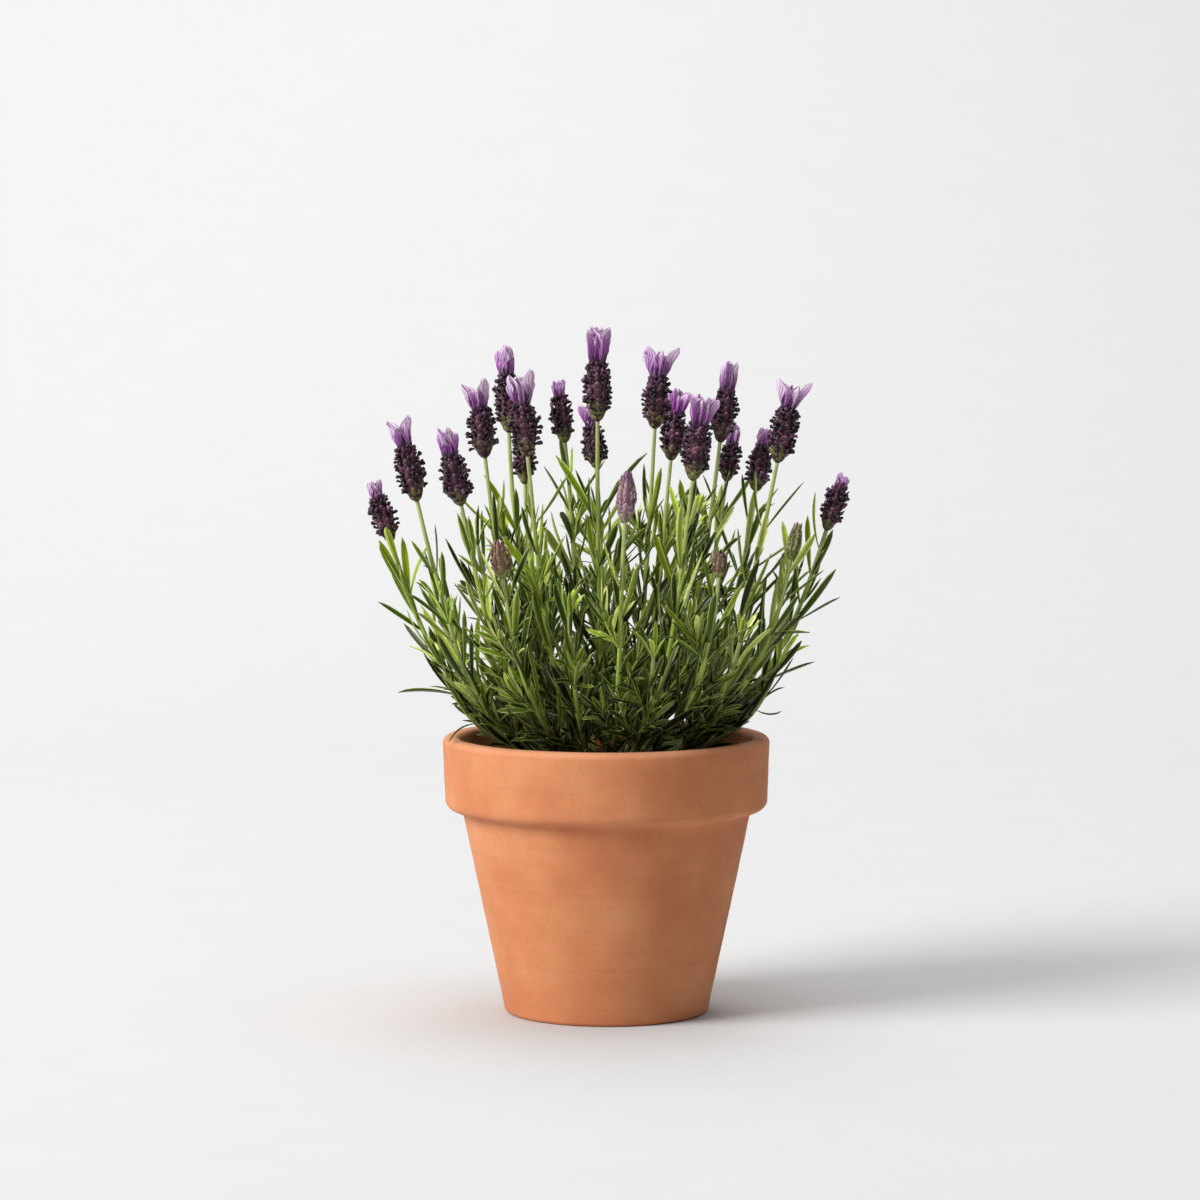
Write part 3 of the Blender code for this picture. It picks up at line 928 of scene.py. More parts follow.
@dataclass
class Seats:
    """Places for small shapes of one family to grow on, gathered one by one."""

    family: Shapes
    places: list[Vector] = field(default_factory=list)
    turns: list[tuple[float, float, float]] = field(default_factory=list)
    sizes: list[tuple[float, float, float]] = field(default_factory=list)
    variants: list[int] = field(default_factory=list)
    tones: list[float] = field(default_factory=list)
    rises: list[float] = field(default_factory=list)

    def add(self, place: Vector, direction: Vector, facing: Vector, width: float, length: float,
            variant: int = 0, tone: float = 0.5, rise: float = 1.0) -> None:
        """Adds a seat.

        Args:
            place: Where the shape's root sits.
            direction: The way the shape grows.
            facing: The way its upper face looks, as near as its direction allows.
            width: Its full width.
            length: Its length.
            variant: Which member of the family grows here.
            tone: A number from 0 to 1 that its finish reads for colour.
            rise: A number from 0 to 1 for how high or how far out it sits; on a leaf it sets painted shade,
                darkest deep in the bush and on its right.
        """
        ahead = direction.normalized()
        side = facing.cross(ahead)
        if side.length < 1e-6:
            side = ahead.orthogonal()
        side.normalize()
        upper = ahead.cross(side)
        turn = Matrix((side, upper, ahead)).transposed().to_euler("XYZ")
        aspect = self.family.aspect()
        self.places.append(place)
        self.turns.append((turn.x, turn.y, turn.z))
        self.sizes.append((width / aspect, length, length) if aspect else (width, width, length))
        self.variants.append(variant)
        self.tones.append(tone)
        self.rises.append(rise)

    def grow(self, name: str, finish: Finish) -> bpy.types.Object:
        """Grows the family's shapes on every seat and returns them as one plain mesh object.

        Args:
            name: The object's name.
            finish: Its one finish.

        Returns:
            The object, with tone and rise stored on its points.
        """
        mesh = bpy.data.meshes.new(name + "_seats")
        mesh.from_pydata([tuple(p) for p in self.places], [], [])
        for label, values in (("turn", self.turns), ("size", self.sizes)):
            layer = mesh.attributes.new(label, "FLOAT_VECTOR", "POINT")
            layer.data.foreach_set("vector", np.asarray(values, np.float32).ravel())
        picked = mesh.attributes.new("variant", "INT", "POINT")
        picked.data.foreach_set("value", np.asarray(self.variants, np.int32))
        store(mesh, "tone", self.tones)
        store(mesh, "rise", self.rises)
        return run_tree(name, mesh, seat_tree(), {
            "Shapes": self.family.collection(), "Width": 1.0, "Length": 1.0, "Finish": finish.material()})


# ------------------------------------------------------------------------------ pot and soil

@dataclass
class ClayPot:
    """The terracotta pot: a straight taper under a deep rolled rim, with a drain hole."""

    rim_radius: float = 60.0 * MM
    rim_bottom: float = 75.0 * MM
    rim_taper: float = 0.8 * MM
    neck_radius: float = 53.1 * MM
    foot_radius: float = 37.4 * MM
    wall: float = 5.2 * MM
    floor: float = 7.0 * MM
    drain_radius: float = 6.0 * MM
    lip_round: float = 2.4 * MM
    rim_round: float = 3.6 * MM
    foot_round: float = 1.8 * MM
    ridge_depth: float = 0.035
    ridge_scale: float = 1.9 * MM
    sides: int = 192
    top: float = field(init=False)

    def __post_init__(self) -> None:
        """Takes the height from the CAD pot."""
        self.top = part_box("pot")[1].z

    def body_radius(self, height: float) -> float:
        """Outside radius of the tapering body, carried on up inside the rim."""
        return self.foot_radius + (self.neck_radius - self.foot_radius) * height / self.rim_bottom

    def inside_radius(self, height: float) -> float:
        """Inside radius of the wall at a height."""
        return self.body_radius(height) - self.wall

    @staticmethod
    def arc(centre: tuple[float, float], radius: float, start: float, end: float,
            steps: int) -> list[tuple[float, float]]:
        """Points along an arc in the radius-height plane, with angles in degrees from +radius.

        Args:
            centre: Its middle, as radius and height.
            radius: Its own radius.
            start: The angle it starts at.
            end: The angle it ends at.
            steps: How many steps it is cut into.

        Returns:
            Its points, both ends included.
        """
        angles = np.radians(np.linspace(start, end, steps + 1))
        return [(centre[0] + radius * math.cos(a), centre[1] + radius * math.sin(a)) for a in angles]

    def profile(self) -> list[tuple[float, float]]:
        """The closed outline of the wall, from the lip down the outside and up the inside.

        Returns:
            Its points as radius and height, the last one joining the first.
        """
        lip_in = self.inside_radius(self.top)
        low_rim = self.rim_radius - self.rim_taper
        under = self.rim_bottom
        crease = (self.neck_radius + 0.4 * MM, under - 0.5 * MM)
        outside = [
            *self.arc((self.rim_radius - self.lip_round, self.top - self.lip_round), self.lip_round,
                      90, 0, 8),
            *self.arc((low_rim - self.rim_round, under + self.rim_round), self.rim_round, 0, -80, 8),
            crease,
            (self.body_radius(under - 1.4 * MM) + 0.1 * MM, under - 1.4 * MM),
            (self.body_radius(under - 2.5 * MM), under - 2.5 * MM),
            *self.arc((self.foot_radius - self.foot_round + 0.3 * MM, self.foot_round), self.foot_round,
                      0, -90, 6),
        ]
        inside = [
            (self.drain_radius + 0.6 * MM, 0.0),
            (self.drain_radius, 0.6 * MM),
            (self.drain_radius, self.floor),
            (self.inside_radius(self.floor) - 2.0 * MM, self.floor),
            (self.inside_radius(self.floor + 2.0 * MM), self.floor + 2.0 * MM),
            (lip_in, self.top - self.lip_round),
            *self.arc((lip_in + self.lip_round, self.top - self.lip_round), self.lip_round, 165, 100, 6),
        ]
        return self.evened([*outside, *inside])

    @staticmethod
    def evened(points: list[tuple[float, float]], longest: float = 3.0 * MM) -> list[tuple[float, float]]:
        """Adds points along the long straight stretches so that the wall can undulate.

        Args:
            points: The closed outline.
            longest: The longest step to leave.

        Returns:
            The outline with the added points.
        """
        made = []
        for start, end in zip(points, points[1:] + points[:1]):
            pieces = max(1, int(math.dist(start, end) / longest))
            made += [tuple(np.array(start) + (np.array(end) - start) * k / pieces) for k in range(pieces)]
        return made

    def build(self) -> bpy.types.Object:
        """Turns the outline, lets the clay wander a little, and dresses it.

        Returns:
            The pot, as one piece of the pot's node.
        """
        outline = self.profile()
        points = []
        for k in range(self.sides):
            angle = math.tau * k / self.sides
            for radius, height in outline:
                rise = height / self.top
                wander = 0.10 * math.sin(3 * angle + 5 * rise) + 0.06 * math.sin(7 * angle - 9 * rise + 1.0)
                turned = 1.0 if radius > self.neck_radius * 0.6 else 0.0
                ridge = self.ridge_depth * math.sin(height / self.ridge_scale) * turned
                grown = radius + (wander * min(1.0, 6.0 * rise) + ridge) * MM
                points.append((grown * math.cos(angle), grown * math.sin(angle), height))
        count = len(outline)
        faces = []
        for k in range(self.sides):
            here, ahead = k * count, (k + 1) % self.sides * count
            for i in range(count):
                j = (i + 1) % count
                faces.append((here + i, here + j, ahead + j, ahead + i))
        pot = mesh_object("terracotta_pot", smooth_mesh("terracotta_pot", np.array(points), faces))
        pot.data.materials.append(TERRACOTTA.material())
        return finish_piece(pot, "terracotta", "pot")


@dataclass
class SoilBed:
    """The potting soil: a lumpy closed bed with loose crumbs on top."""

    pot: ClayPot
    mound: float = 2.5 * MM
    lump: float = 1.3 * MM
    rings: int = 44
    around: int = 120
    crumbs: int = 1500
    seed: int = 11
    edge_height: float = field(init=False)
    low: float = field(init=False)

    def __post_init__(self) -> None:
        """Takes the height of the soil from its CAD node."""
        bottom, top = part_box("soil")
        self.low = bottom.z
        self.edge_height = top.z - self.mound

    def height(self, x: float, y: float) -> float:
        """Height of the soil's surface, mounded and lumpy.

        Args:
            x: A place across.
            y: A place in depth.

        Returns:
            The height there, in metres.
        """
        edge = self.pot.inside_radius(self.edge_height)
        share = min(1.0, math.hypot(x, y) / edge)
        u, v = x / MM, y / MM
        lumps = math.sin(0.55 * u + 1.3 * math.sin(0.31 * v)) * math.sin(0.47 * v + 1.1 * math.sin(0.37 * u))
        lumps += 0.5 * math.sin(1.27 * u + 0.6) * math.sin(1.13 * v + 2.0 * math.sin(0.2 * u))
        return self.edge_height + self.mound * (1 - share**2) + self.lump * 0.5 * lumps * (1 - 0.5 * share)

    def build(self) -> bpy.types.Object:
        """Makes the bed: a lumpy top over a tapered side and a flat bottom.

        Returns:
            The bed, as the piece that stands for the soil's node.
        """
        edge = self.pot.inside_radius(self.edge_height) - 0.4 * MM
        foot = self.pot.inside_radius(self.low) - 2.6 * MM
        points, faces = [(0.0, 0.0, self.height(0.0, 0.0))], []
        radii = [edge * (i + 1) / self.rings for i in range(self.rings)]
        levels: list[tuple[float, float | None]] = [(r, None) for r in radii]
        heel = self.low + 2 * MM
        levels += [(self.pot.inside_radius(heel) - 0.4 * MM, heel), (foot, self.low)]
        for radius, level in levels:
            for k in range(self.around):
                angle = math.tau * k / self.around
                x, y = radius * math.cos(angle), radius * math.sin(angle)
                points.append((x, y, self.height(x, y) if level is None else level))
        faces += [(0, 1 + k, 1 + (k + 1) % self.around) for k in range(self.around)]
        for ring in range(len(levels) - 1):
            low, high = 1 + ring * self.around, 1 + (ring + 1) * self.around
            for k in range(self.around):
                after = (k + 1) % self.around
                faces.append((low + k, high + k, high + after, low + after))
        faces.append(tuple(range(1 + (len(levels) - 1) * self.around, 1 + len(levels) * self.around)))
        mesh = smooth_mesh("soil_bed", np.array(points), faces)
        store(mesh, "tone", [0.5] * len(points))
        bed = mesh_object("soil_bed", mesh)
        bed.data.materials.append(POTTING_SOIL.material())
        return finish_piece(bed, "potting_soil", "soil")

    def scatter_crumbs(self) -> bpy.types.Object:
        """Strews crumbs of soil and bark over the bed, more of them towards the wall.

        Returns:
            All the crumbs as one piece.
        """
        rng = np.random.default_rng(self.seed)
        seats = Seats(Shapes.CRUMB)
        edge = self.pot.inside_radius(self.edge_height) - 1.2 * MM
        for _ in range(self.crumbs):
            radius = edge * rng.random() ** 0.42
            angle = math.tau * rng.random()
            x, y = radius * math.cos(angle), radius * math.sin(angle)
            size = (0.7 + 2.4 * rng.random() ** 3) * MM
            direction = Vector(rng.normal(size=3)) + UP * 0.2
            place = Vector((x, y, self.height(x, y) + 0.1 * size))
            width = size * (0.5 + 0.6 * rng.random())
            length = size * (0.8 + 0.9 * rng.random() ** 2)
            seats.add(place, direction, UP, width, length, int(rng.integers(3)), float(rng.random()))
        crumbs = seats.grow("soil_crumbs", POTTING_SOIL)
        return finish_piece(crumbs, "potting_soil")


# ------------------------------------------------------------------------------ shoots

@dataclass(frozen=True)
class Habit:
    """How the whole plant grows: what the shoots share."""

    pair_spacing: float = 8.6 * MM
    first_pair: float = 5.0 * MM
    leaf_length: float = 25.0 * MM
    leaf_width: float = 2.45 * MM
    leaflet_length: float = 10.0 * MM
    leaflet_width: float = 1.5 * MM
    stem_low: float = 1.15 * MM
    stem_high: float = 0.76 * MM
    outward_start: float = 2.0
    upward_start: float = 0.7
    reach: float = 88.0 * MM
    outline: tuple[tuple[float, float], ...] = (
        (100.0, 47.0), (108.0, 53.0), (118.0, 62.0), (130.0, 71.0), (145.0, 79.0), (165.0, 85.0))
    path_steps: int = 28
    lean: float = 42.0  # degrees between a low leaf and its stem
    lean_lost: float = 14.0  # how many fewer it is at the top
    lean_spread: float = 7.0
    leaflets: float = 1.6  # in each axil of a full shoot, on average
    side_low: float = 0.8  # a side shoot's radius at its foot, against the top of a stem
    side_high: float = 0.45  # and at its tip
    section: float = 1.8  # side of the stem's square section, against its radius
    section_round: float = 0.42

    def widest(self, height: float) -> float:
        """How far from the middle the foliage spreads at a height."""
        heights, radii = zip(*self.outline)
        return float(np.interp(height / MM, heights, radii)) * MM


HABIT = Habit()
FLOWERING_SEED, LEAFY_SEED, HEAD_SEED = 100, 200, 500


def lowest_ring(node: str) -> Vector:
    """The middle of a CAD node's lowest points, where a shoot leaves the soil.

    Args:
        node: The name of the shoot's CAD node.

    Returns:
        The place, in metres.
    """
    corners = np.array([v.co for v in frame["nodes"][node].data.vertices])
    low = corners[corners[:, 2] < corners[:, 2].min() + 0.2 * MM]
    return Vector(low.mean(axis=0))


def head_line(node: str) -> tuple[Vector, Vector]:
    """A flower head's foot and axis, from its CAD node.

    Args:
        node: The name of the head's CAD node.

    Returns:
        The middle of its lower end, and the unit vector up through it.
    """
    corners = np.array([v.co for v in frame["nodes"][node].data.vertices])
    middle = corners.mean(axis=0)
    _, _, axes = np.linalg.svd(corners - middle)
    axis = axes[0] * (1.0 if axes[0][2] > 0 else -1.0)
    travel = (corners - middle) @ axis
    foot = corners[travel < travel.min() + 0.4 * MM].mean(axis=0)
    return Vector(foot), Vector(axis)


BROAD_LEAF_MM = 2.45


@dataclass(frozen=True)
class MarkedLeaf:
    """A leaf that stands out by itself, in mm: its stem, the height of its root, its tip and width."""

    stem: str
    root: float
    tip: tuple[float, float, float]
    width: float = 2.6
    variant: int = 2
    tone: float = 0.4

    def facing(self, ahead: Vector) -> Vector:
        """The way its upper face looks: to the front if it is broad, towards its stem if narrow.

        Args:
            ahead: The leaf from its root to its tip.

        Returns:
            The direction, of no fixed length.
        """
        if self.width > BROAD_LEAF_MM:
            return Vector((-0.5 * ahead.x, -0.8 * ahead.length, 0.5 * ahead.length))
        return Vector((-ahead.x, -ahead.y, 0.4 * ahead.length))


MARKED_LEAVES = (
    MarkedLeaf("flowering_01", 140.0, (-83.0, -10.0, 152.0), 2.6, 2, 0.2),
    MarkedLeaf("flowering_01", 118.0, (-75.0, -16.0, 124.5), 2.4, 3, 0.05),
    MarkedLeaf("flowering_01", 155.0, (-84.0, -10.0, 174.0), 3.6, 1, 0.5),
    MarkedLeaf("flowering_01", 153.0, (-74.5, -6.0, 175.0), 2.8, 2, 0.6),
    MarkedLeaf("leafy_01", 107.0, (-58.5, -24.0, 109.0), 2.2, 4, 0.2),
    MarkedLeaf("flowering_19", 142.0, (85.0, -4.0, 153.5), 1.9, 2, 0.0),
    MarkedLeaf("flowering_19", 121.0, (76.0, 0.0, 129.5), 1.9, 2, 0.0),
    MarkedLeaf("leafy_06", 112.0, (63.0, -14.0, 107.5), 2.4, 4, 0.0),
    MarkedLeaf("flowering_09", 182.0, (-16.5, -12.0, 207.0), 2.5, 3, 0.35),
    MarkedLeaf("flowering_09", 182.0, (9.0, -14.0, 209.5), 2.2, 3, 0.2),
    MarkedLeaf("flowering_05", 176.0, (-45.0, 20.0, 196.5), 3.2, 2, 0.6),
    MarkedLeaf("flowering_08", 160.0, (-25.5, 24.0, 177.0), 3.7, 1, 0.8),
    MarkedLeaf("leafy_04", 106.0, (4.0, -44.0, 113.0), 2.6, 4, 0.3),
    MarkedLeaf("leafy_03", 110.0, (-9.0, -40.0, 117.5), 2.6, 3, 0.9),
)


@dataclass
class Shoot:
    """A stem with its leaves: pairs set crosswise, tufts in their axils and a few side shoots."""

    name: str
    nodes: tuple[str, ...]
    foot: Vector
    top: Vector
    top_direction: Vector
    bare: float
    seed: int
    pot: ClayPot
    soil: SoilBed
    side_shoots: int = 3
    path: list[Vector] = field(init=False)
    rng: np.random.Generator = field(init=False)
    fullness: float = field(init=False)

    def __post_init__(self) -> None:
        """Works out the stem's middle line: sideways out of the soil, then up to its top."""
        self.rng = np.random.default_rng(self.seed)
        outer = (abs(self.top.x) / MM - 34.0) / 32.0
        self.fullness = 1.0 - 0.75 * float(np.clip(outer, 0.0, 1.0))
        start = self.foot + UP * 1.5 * MM
        chord = self.top - start
        leave = Vector((chord.x * HABIT.outward_start, chord.y * HABIT.outward_start,
                        chord.z * HABIT.upward_start))
        arrive = self.top_direction * chord.length
        self.path = [self.foot - UP * 1.0 * MM]
        for t in np.linspace(0.0, 1.0, HABIT.path_steps):
            t = float(t)
            self.path.append((2 * t**3 - 3 * t**2 + 1) * start + (t**3 - 2 * t**2 + t) * leave
                             + (3 * t**2 - 2 * t**3) * self.top + (t**3 - t**2) * arrive)

    def length(self) -> float:
        """Length of the stem's middle line."""
        return sum((b - a).length for a, b in zip(self.path, self.path[1:]))

    def at(self, travel: float) -> tuple[Vector, Vector]:
        """The point and the direction of the stem after some travel from its foot.

        Args:
            travel: The way along the middle line, in metres.

        Returns:
            The point, and the unit direction there.
        """
        for a, b in zip(self.path, self.path[1:]):
            step = (b - a).length
            if travel <= step:
                return a + (b - a) * (travel / step), (b - a) / step
            travel -= step
        last = self.path[-1] - self.path[-2]
        return self.path[-1].copy(), last.normalized()

    def fitted(self, place: Vector, direction: Vector, length: float) -> tuple[Vector, float] | None:
        """Turns or shortens a leaf that would meet the pot or the soil or leave the plant's outline.

        Args:
            place: The leaf's root.
            direction: The way it grows.
            length: Its length.

        Returns:
            The direction and length it can have, or None where it has no room.
        """
        ahead = direction.normalized()
        for _ in range(7):
            clear = True
            for share in (0.5, 0.8, 1.0):
                point = place + ahead * length * share
                radius = math.hypot(point.x, point.y)
                if radius > HABIT.widest(point.z):
                    ahead = (ahead + UP * 0.25).normalized()
                    length *= 0.90
                    clear = False
                    break
                near_wall = radius > self.pot.inside_radius(self.pot.top) - 2.5 * MM
                on_lip = near_wall and point.z < self.pot.top + 2.0 * MM
                if on_lip or point.z < self.soil.edge_height + 3.0 * MM:
                    ahead = (ahead + UP * 0.55).normalized()
                    clear = False
                    break
            if clear:
                return ahead, length
        return None

    def add_leaf(self, seats: Seats, place: Vector, axis: Vector, outward: Vector, angle: float,
                 length: float, width: float, variant: int, rise: float) -> None:
        """Adds one leaf at an angle to its stem, facing the stem, if it has room.

        Args:
            seats: Where the leaf is gathered.
            place: Its root on the stem's middle line.
            axis: The stem's direction there.
            outward: The way out of the stem, square to it.
            angle: How far it leans out from the stem, in radians.
            length: Its length.
            width: Its width.
            variant: Which member of its family it is.
            rise: Its painted light tone, which darkens it as painted shade when low.
        """
        direction = axis * math.cos(angle) + outward * math.sin(angle)
        room = self.fitted(place, direction, length)
        if room is None:
            return
        ahead, length = room
        sway = self.rng.normal(0.0, 0.16)
        facing = axis * math.sin(angle) - outward * math.cos(angle) + axis.cross(outward) * sway * 2.0
        seats.add(place + outward * 0.4 * MM, ahead, facing, width, length, variant,
                  float(self.rng.beta(0.85, 1.05)), rise)

    def painted_light_tone(self, place: Vector) -> float:
        """From 0 deep in the bush and on its right to 1 at its outside, top and left, for painted shade on
        the leaves: the lower it is, the darker a leaf is painted.

        Args:
            place: A place in the bush.

        Returns:
            The tone.
        """
        outward = math.hypot(place.x, place.y) / HABIT.reach
        upward = (place.z - self.pot.top) / (105.0 * MM)
        # Leaves on the left, towards the key light, are painted lighter and those on the right darker, as
        # painted shade.
        sunny = -0.20 * place.x / HABIT.reach
        return float(np.clip(0.55 * outward + 0.90 * upward - 0.10 + sunny, 0.0, 1.0)) ** 1.3

    def grow_pairs(self, leaves: Seats, tufts: Seats) -> list[tuple[Vector, Vector, Vector]]:
        """Sets leaves and tufts along the stem and returns where side shoots may start.

        Args:
            leaves: Where leaves are gathered.
            tufts: Where leaflets are gathered.

        Returns:
            For each leaf its root, the stem's direction and the way outward.
        """
        starts = []
        travel, leafy = HABIT.first_pair, self.length() - self.bare
        pair = 0
        turn0 = self.rng.uniform(0, math.pi)
        while travel < leafy:
            place, axis = self.at(travel)
            share = travel / leafy
            across = axis.orthogonal().normalized()
            for half in (0, 1):
                turn = turn0 + pair * math.pi / 2 + half * math.pi + self.rng.normal(0, 0.15)
                outward = Matrix.Rotation(turn, 3, axis) @ across
                angle = math.radians(HABIT.lean - HABIT.lean_lost * share
                                     + self.rng.normal(0, HABIT.lean_spread))
                full = HABIT.leaf_length * (0.62 + 0.46 * math.sin(math.pi * min(1.0, share * 0.8 + 0.12)))
                length = full * self.rng.uniform(0.8, 1.15)
                bend = int(np.clip(round(self.rng.normal(1.4 - 0.6 * share, 0.9)), 0, 4))
                width = HABIT.leaf_width * self.rng.uniform(0.7, 1.15)
                rise = self.painted_light_tone(place)
                self.add_leaf(leaves, place, axis, outward, angle, length, width, bend, rise)
                count = int(self.rng.random() + HABIT.leaflets * self.fullness)
                self.grow_tuft(tufts, place, axis, outward, count, rise)
                starts.append((place, axis, outward))
            pair += 1
            travel += HABIT.pair_spacing * self.rng.uniform(0.85, 1.25) * (0.85 + 0.5 * share)
        return starts

    def grow_tuft(self, tufts: Seats, place: Vector, axis: Vector, outward: Vector, count: int,
                  rise: float) -> None:
        """Adds a tuft of leaflets in the angle between a leaf and its stem.

        Args:
            tufts: Where leaflets are gathered.
            place: The axil.
            axis: The stem's direction there.
            outward: The way out of the stem, square to it.
            count: How many leaflets.
            rise: Their painted light tone, which darkens them as painted shade when low.
        """
        sideways = axis.cross(outward)
        for _ in range(count):
            angle = math.radians(self.rng.uniform(8, 34))
            lean = (outward + sideways * self.rng.normal(0, 0.5)).normalized()
            length = HABIT.leaflet_length * self.rng.uniform(0.55, 1.35)
            self.add_leaf(tufts, place, axis, lean, angle, length, HABIT.leaflet_width
                          * self.rng.uniform(0.75, 1.25), int(self.rng.integers(3)), rise)

    def grow_side_shoot(self, leaves: Seats, tufts: Seats, start: tuple[Vector, Vector, Vector],
                        size: float) -> list[Vector] | None:
        """Grows a short side shoot and returns its path, or None where it has no room.

        Args:
            leaves: Where leaves are gathered.
            tufts: Where leaflets are gathered.
            start: Its root, the stem's direction and the way outward.
            size: Its length.

        Returns:
            Its middle line, or None.
        """
        place, axis, outward = start
        direction = (axis + outward * 0.75).normalized()
        room = self.fitted(place, direction, size)
        if room is None:
            return None
        direction, size = room
        path = [place.copy()]
        for _ in range(6):
            direction = (direction + UP * 0.10 + outward * self.rng.normal(0, 0.04)).normalized()
            path.append(path[-1] + direction * size / 6)
        across = direction.orthogonal().normalized()
        for i in range(1, 7):
            ahead = (path[i] - path[i - 1]).normalized()
            rise = self.painted_light_tone(path[i])
            for half in (0, 1):
                turn = i * math.pi / 2 + half * math.pi + self.rng.normal(0, 0.2)
                out = Matrix.Rotation(turn, 3, ahead) @ across
                length = HABIT.leaf_length * self.rng.uniform(0.40, 0.62) * (1.0 if i < 6 else 0.7)
                angle = math.radians(40 - 3 * i + self.rng.normal(0, 6))
                self.add_leaf(leaves, path[i], ahead, out, angle, length, HABIT.leaf_width
                              * self.rng.uniform(0.62, 0.9), int(self.rng.integers(1, 4)), rise)
                if i % 2:
                    self.grow_tuft(tufts, path[i], ahead, out, 1, rise)
        return path

    def grow_tip(self, tufts: Seats) -> None:
        """Closes a leafy tip with a few young leaves that stand nearly upright.

        Args:
            tufts: Where leaflets are gathered.
        """
        place, axis = self.at(self.length())
        across = axis.orthogonal().normalized()
        for k in range(6):
            outward = Matrix.Rotation(k * math.pi / 3 + 0.4, 3, axis) @ across
            angle = math.radians(self.rng.uniform(8, 30))
            # The tip's young leaves take the fullest painted light, with no painted shade.
            self.add_leaf(tufts, place - axis * 1.0 * MM, axis, outward, angle,
                          HABIT.leaflet_length * self.rng.uniform(0.9, 1.7), HABIT.leaflet_width * 1.2,
                          int(self.rng.integers(3)), 1.0)

    def root_at(self, height: float) -> Vector:
        """The point of the stem's middle line that is nearest to a height."""
        return min(self.path, key=lambda point: abs(point.z - height)).copy()

    def build(self, extra: Iterable["MarkedLeaf"] = ()) -> list[bpy.types.Object]:
        """Grows the shoot and returns its pieces: the stems, the leaves and the small leaves.

        Args:
            extra: Single leaves that this shoot carries as well.

        Returns:
            The three pieces.
        """
        leaves, tufts = Seats(Shapes.LEAF), Seats(Shapes.LEAFLET)
        starts = self.grow_pairs(leaves, tufts)
        if self.bare < 3.0 * MM:
            self.grow_tip(tufts)
        branches = []
        step = max(1, len(starts) // (self.side_shoots + 1))
        for k in range(round(self.side_shoots * self.fullness)):
            index = min(len(starts) - 1, (k + 1) * step + int(self.rng.integers(0, 2)))
            size = self.rng.uniform(14, 30) * MM * (1.0 - 0.35 * index / len(starts))
            branch = self.grow_side_shoot(leaves, tufts, starts[index], size)
            if branch:
                branches.append(branch)
        for leaf in extra:
            root = self.root_at(leaf.root * MM)
            ahead = Vector(leaf.tip) * MM - root
            # Marked leaves take a painted light tone of 0.8, with little painted shade.
            leaves.add(root, ahead, leaf.facing(ahead), leaf.width * MM, ahead.length, leaf.variant,
                       leaf.tone, 0.8)
        pieces = [self.build_stems(branches)]
        pieces.append(finish_piece(leaves.grow("leaves_" + self.name, LEAF), "green_shoot"))
        pieces.append(finish_piece(tufts.grow("tufts_" + self.name, LEAF), "green_shoot"))
        return pieces

    def build_stems(self, branches: list[list[Vector]]) -> bpy.types.Object:
        """Sweeps the main stem and its side shoots as one mesh.

        Args:
            branches: The side shoots' middle lines.

        Returns:
            The stems, as the piece that stands for the shoot's node.
        """
        points, edges, radii, along = [], [], [], []
        lines = [(self.path, HABIT.stem_low, HABIT.stem_high)]
        lines += [(branch, HABIT.stem_high * HABIT.side_low, HABIT.stem_high * HABIT.side_high)
                  for branch in branches]
        for number, (line, thick, thin) in enumerate(lines):
            first = len(points)
            for i, point in enumerate(line):
                share = i / (len(line) - 1)
                points.append(tuple(point))
                radii.append(thick + (thin - thick) * share)
                along.append(share if number == 0 else 0.6)
                if i:
                    edges.append((first + i - 1, first + i))
        mesh = bpy.data.meshes.new("stem_" + self.name)
        mesh.from_pydata(points, edges, [])
        store(mesh, "radius", radii)
        store(mesh, "along", along)
        stems = run_tree("stem_" + self.name, mesh, stem_tree(), {
            "Side": HABIT.section, "Corner": HABIT.section_round, "Finish": STEM.material()})
        return finish_piece(stems, "green_shoot", *self.nodes)


# ------------------------------------------------------------------------------ flower heads

class Bloom(Enum):
    """How far a flower head has come."""

    OPEN = "open"
    YOUNG = "young"
    PINK_BUD = "pink bud"
    BROWN_BUD = "brown bud"
    GREEN_BUD = "green bud"


@dataclass(frozen=True)
class HeadPlan:
    """The growth of one head, in mm and degrees.

    It gives its stage, its spike's length and width, its coma's height, the bare stem below, how
    many bracts the coma has and how far they splay, how pale they are, and the wings: single
    bracts with their own lean to the right, length and paleness.
    """

    key: str
    bloom: Bloom
    length: float
    width: float
    coma: float
    bare: float
    bracts: int = 7
    splay: float = 13.0
    paleness: float = 0.4
    wings: tuple[tuple[float, float, float], ...] = ()


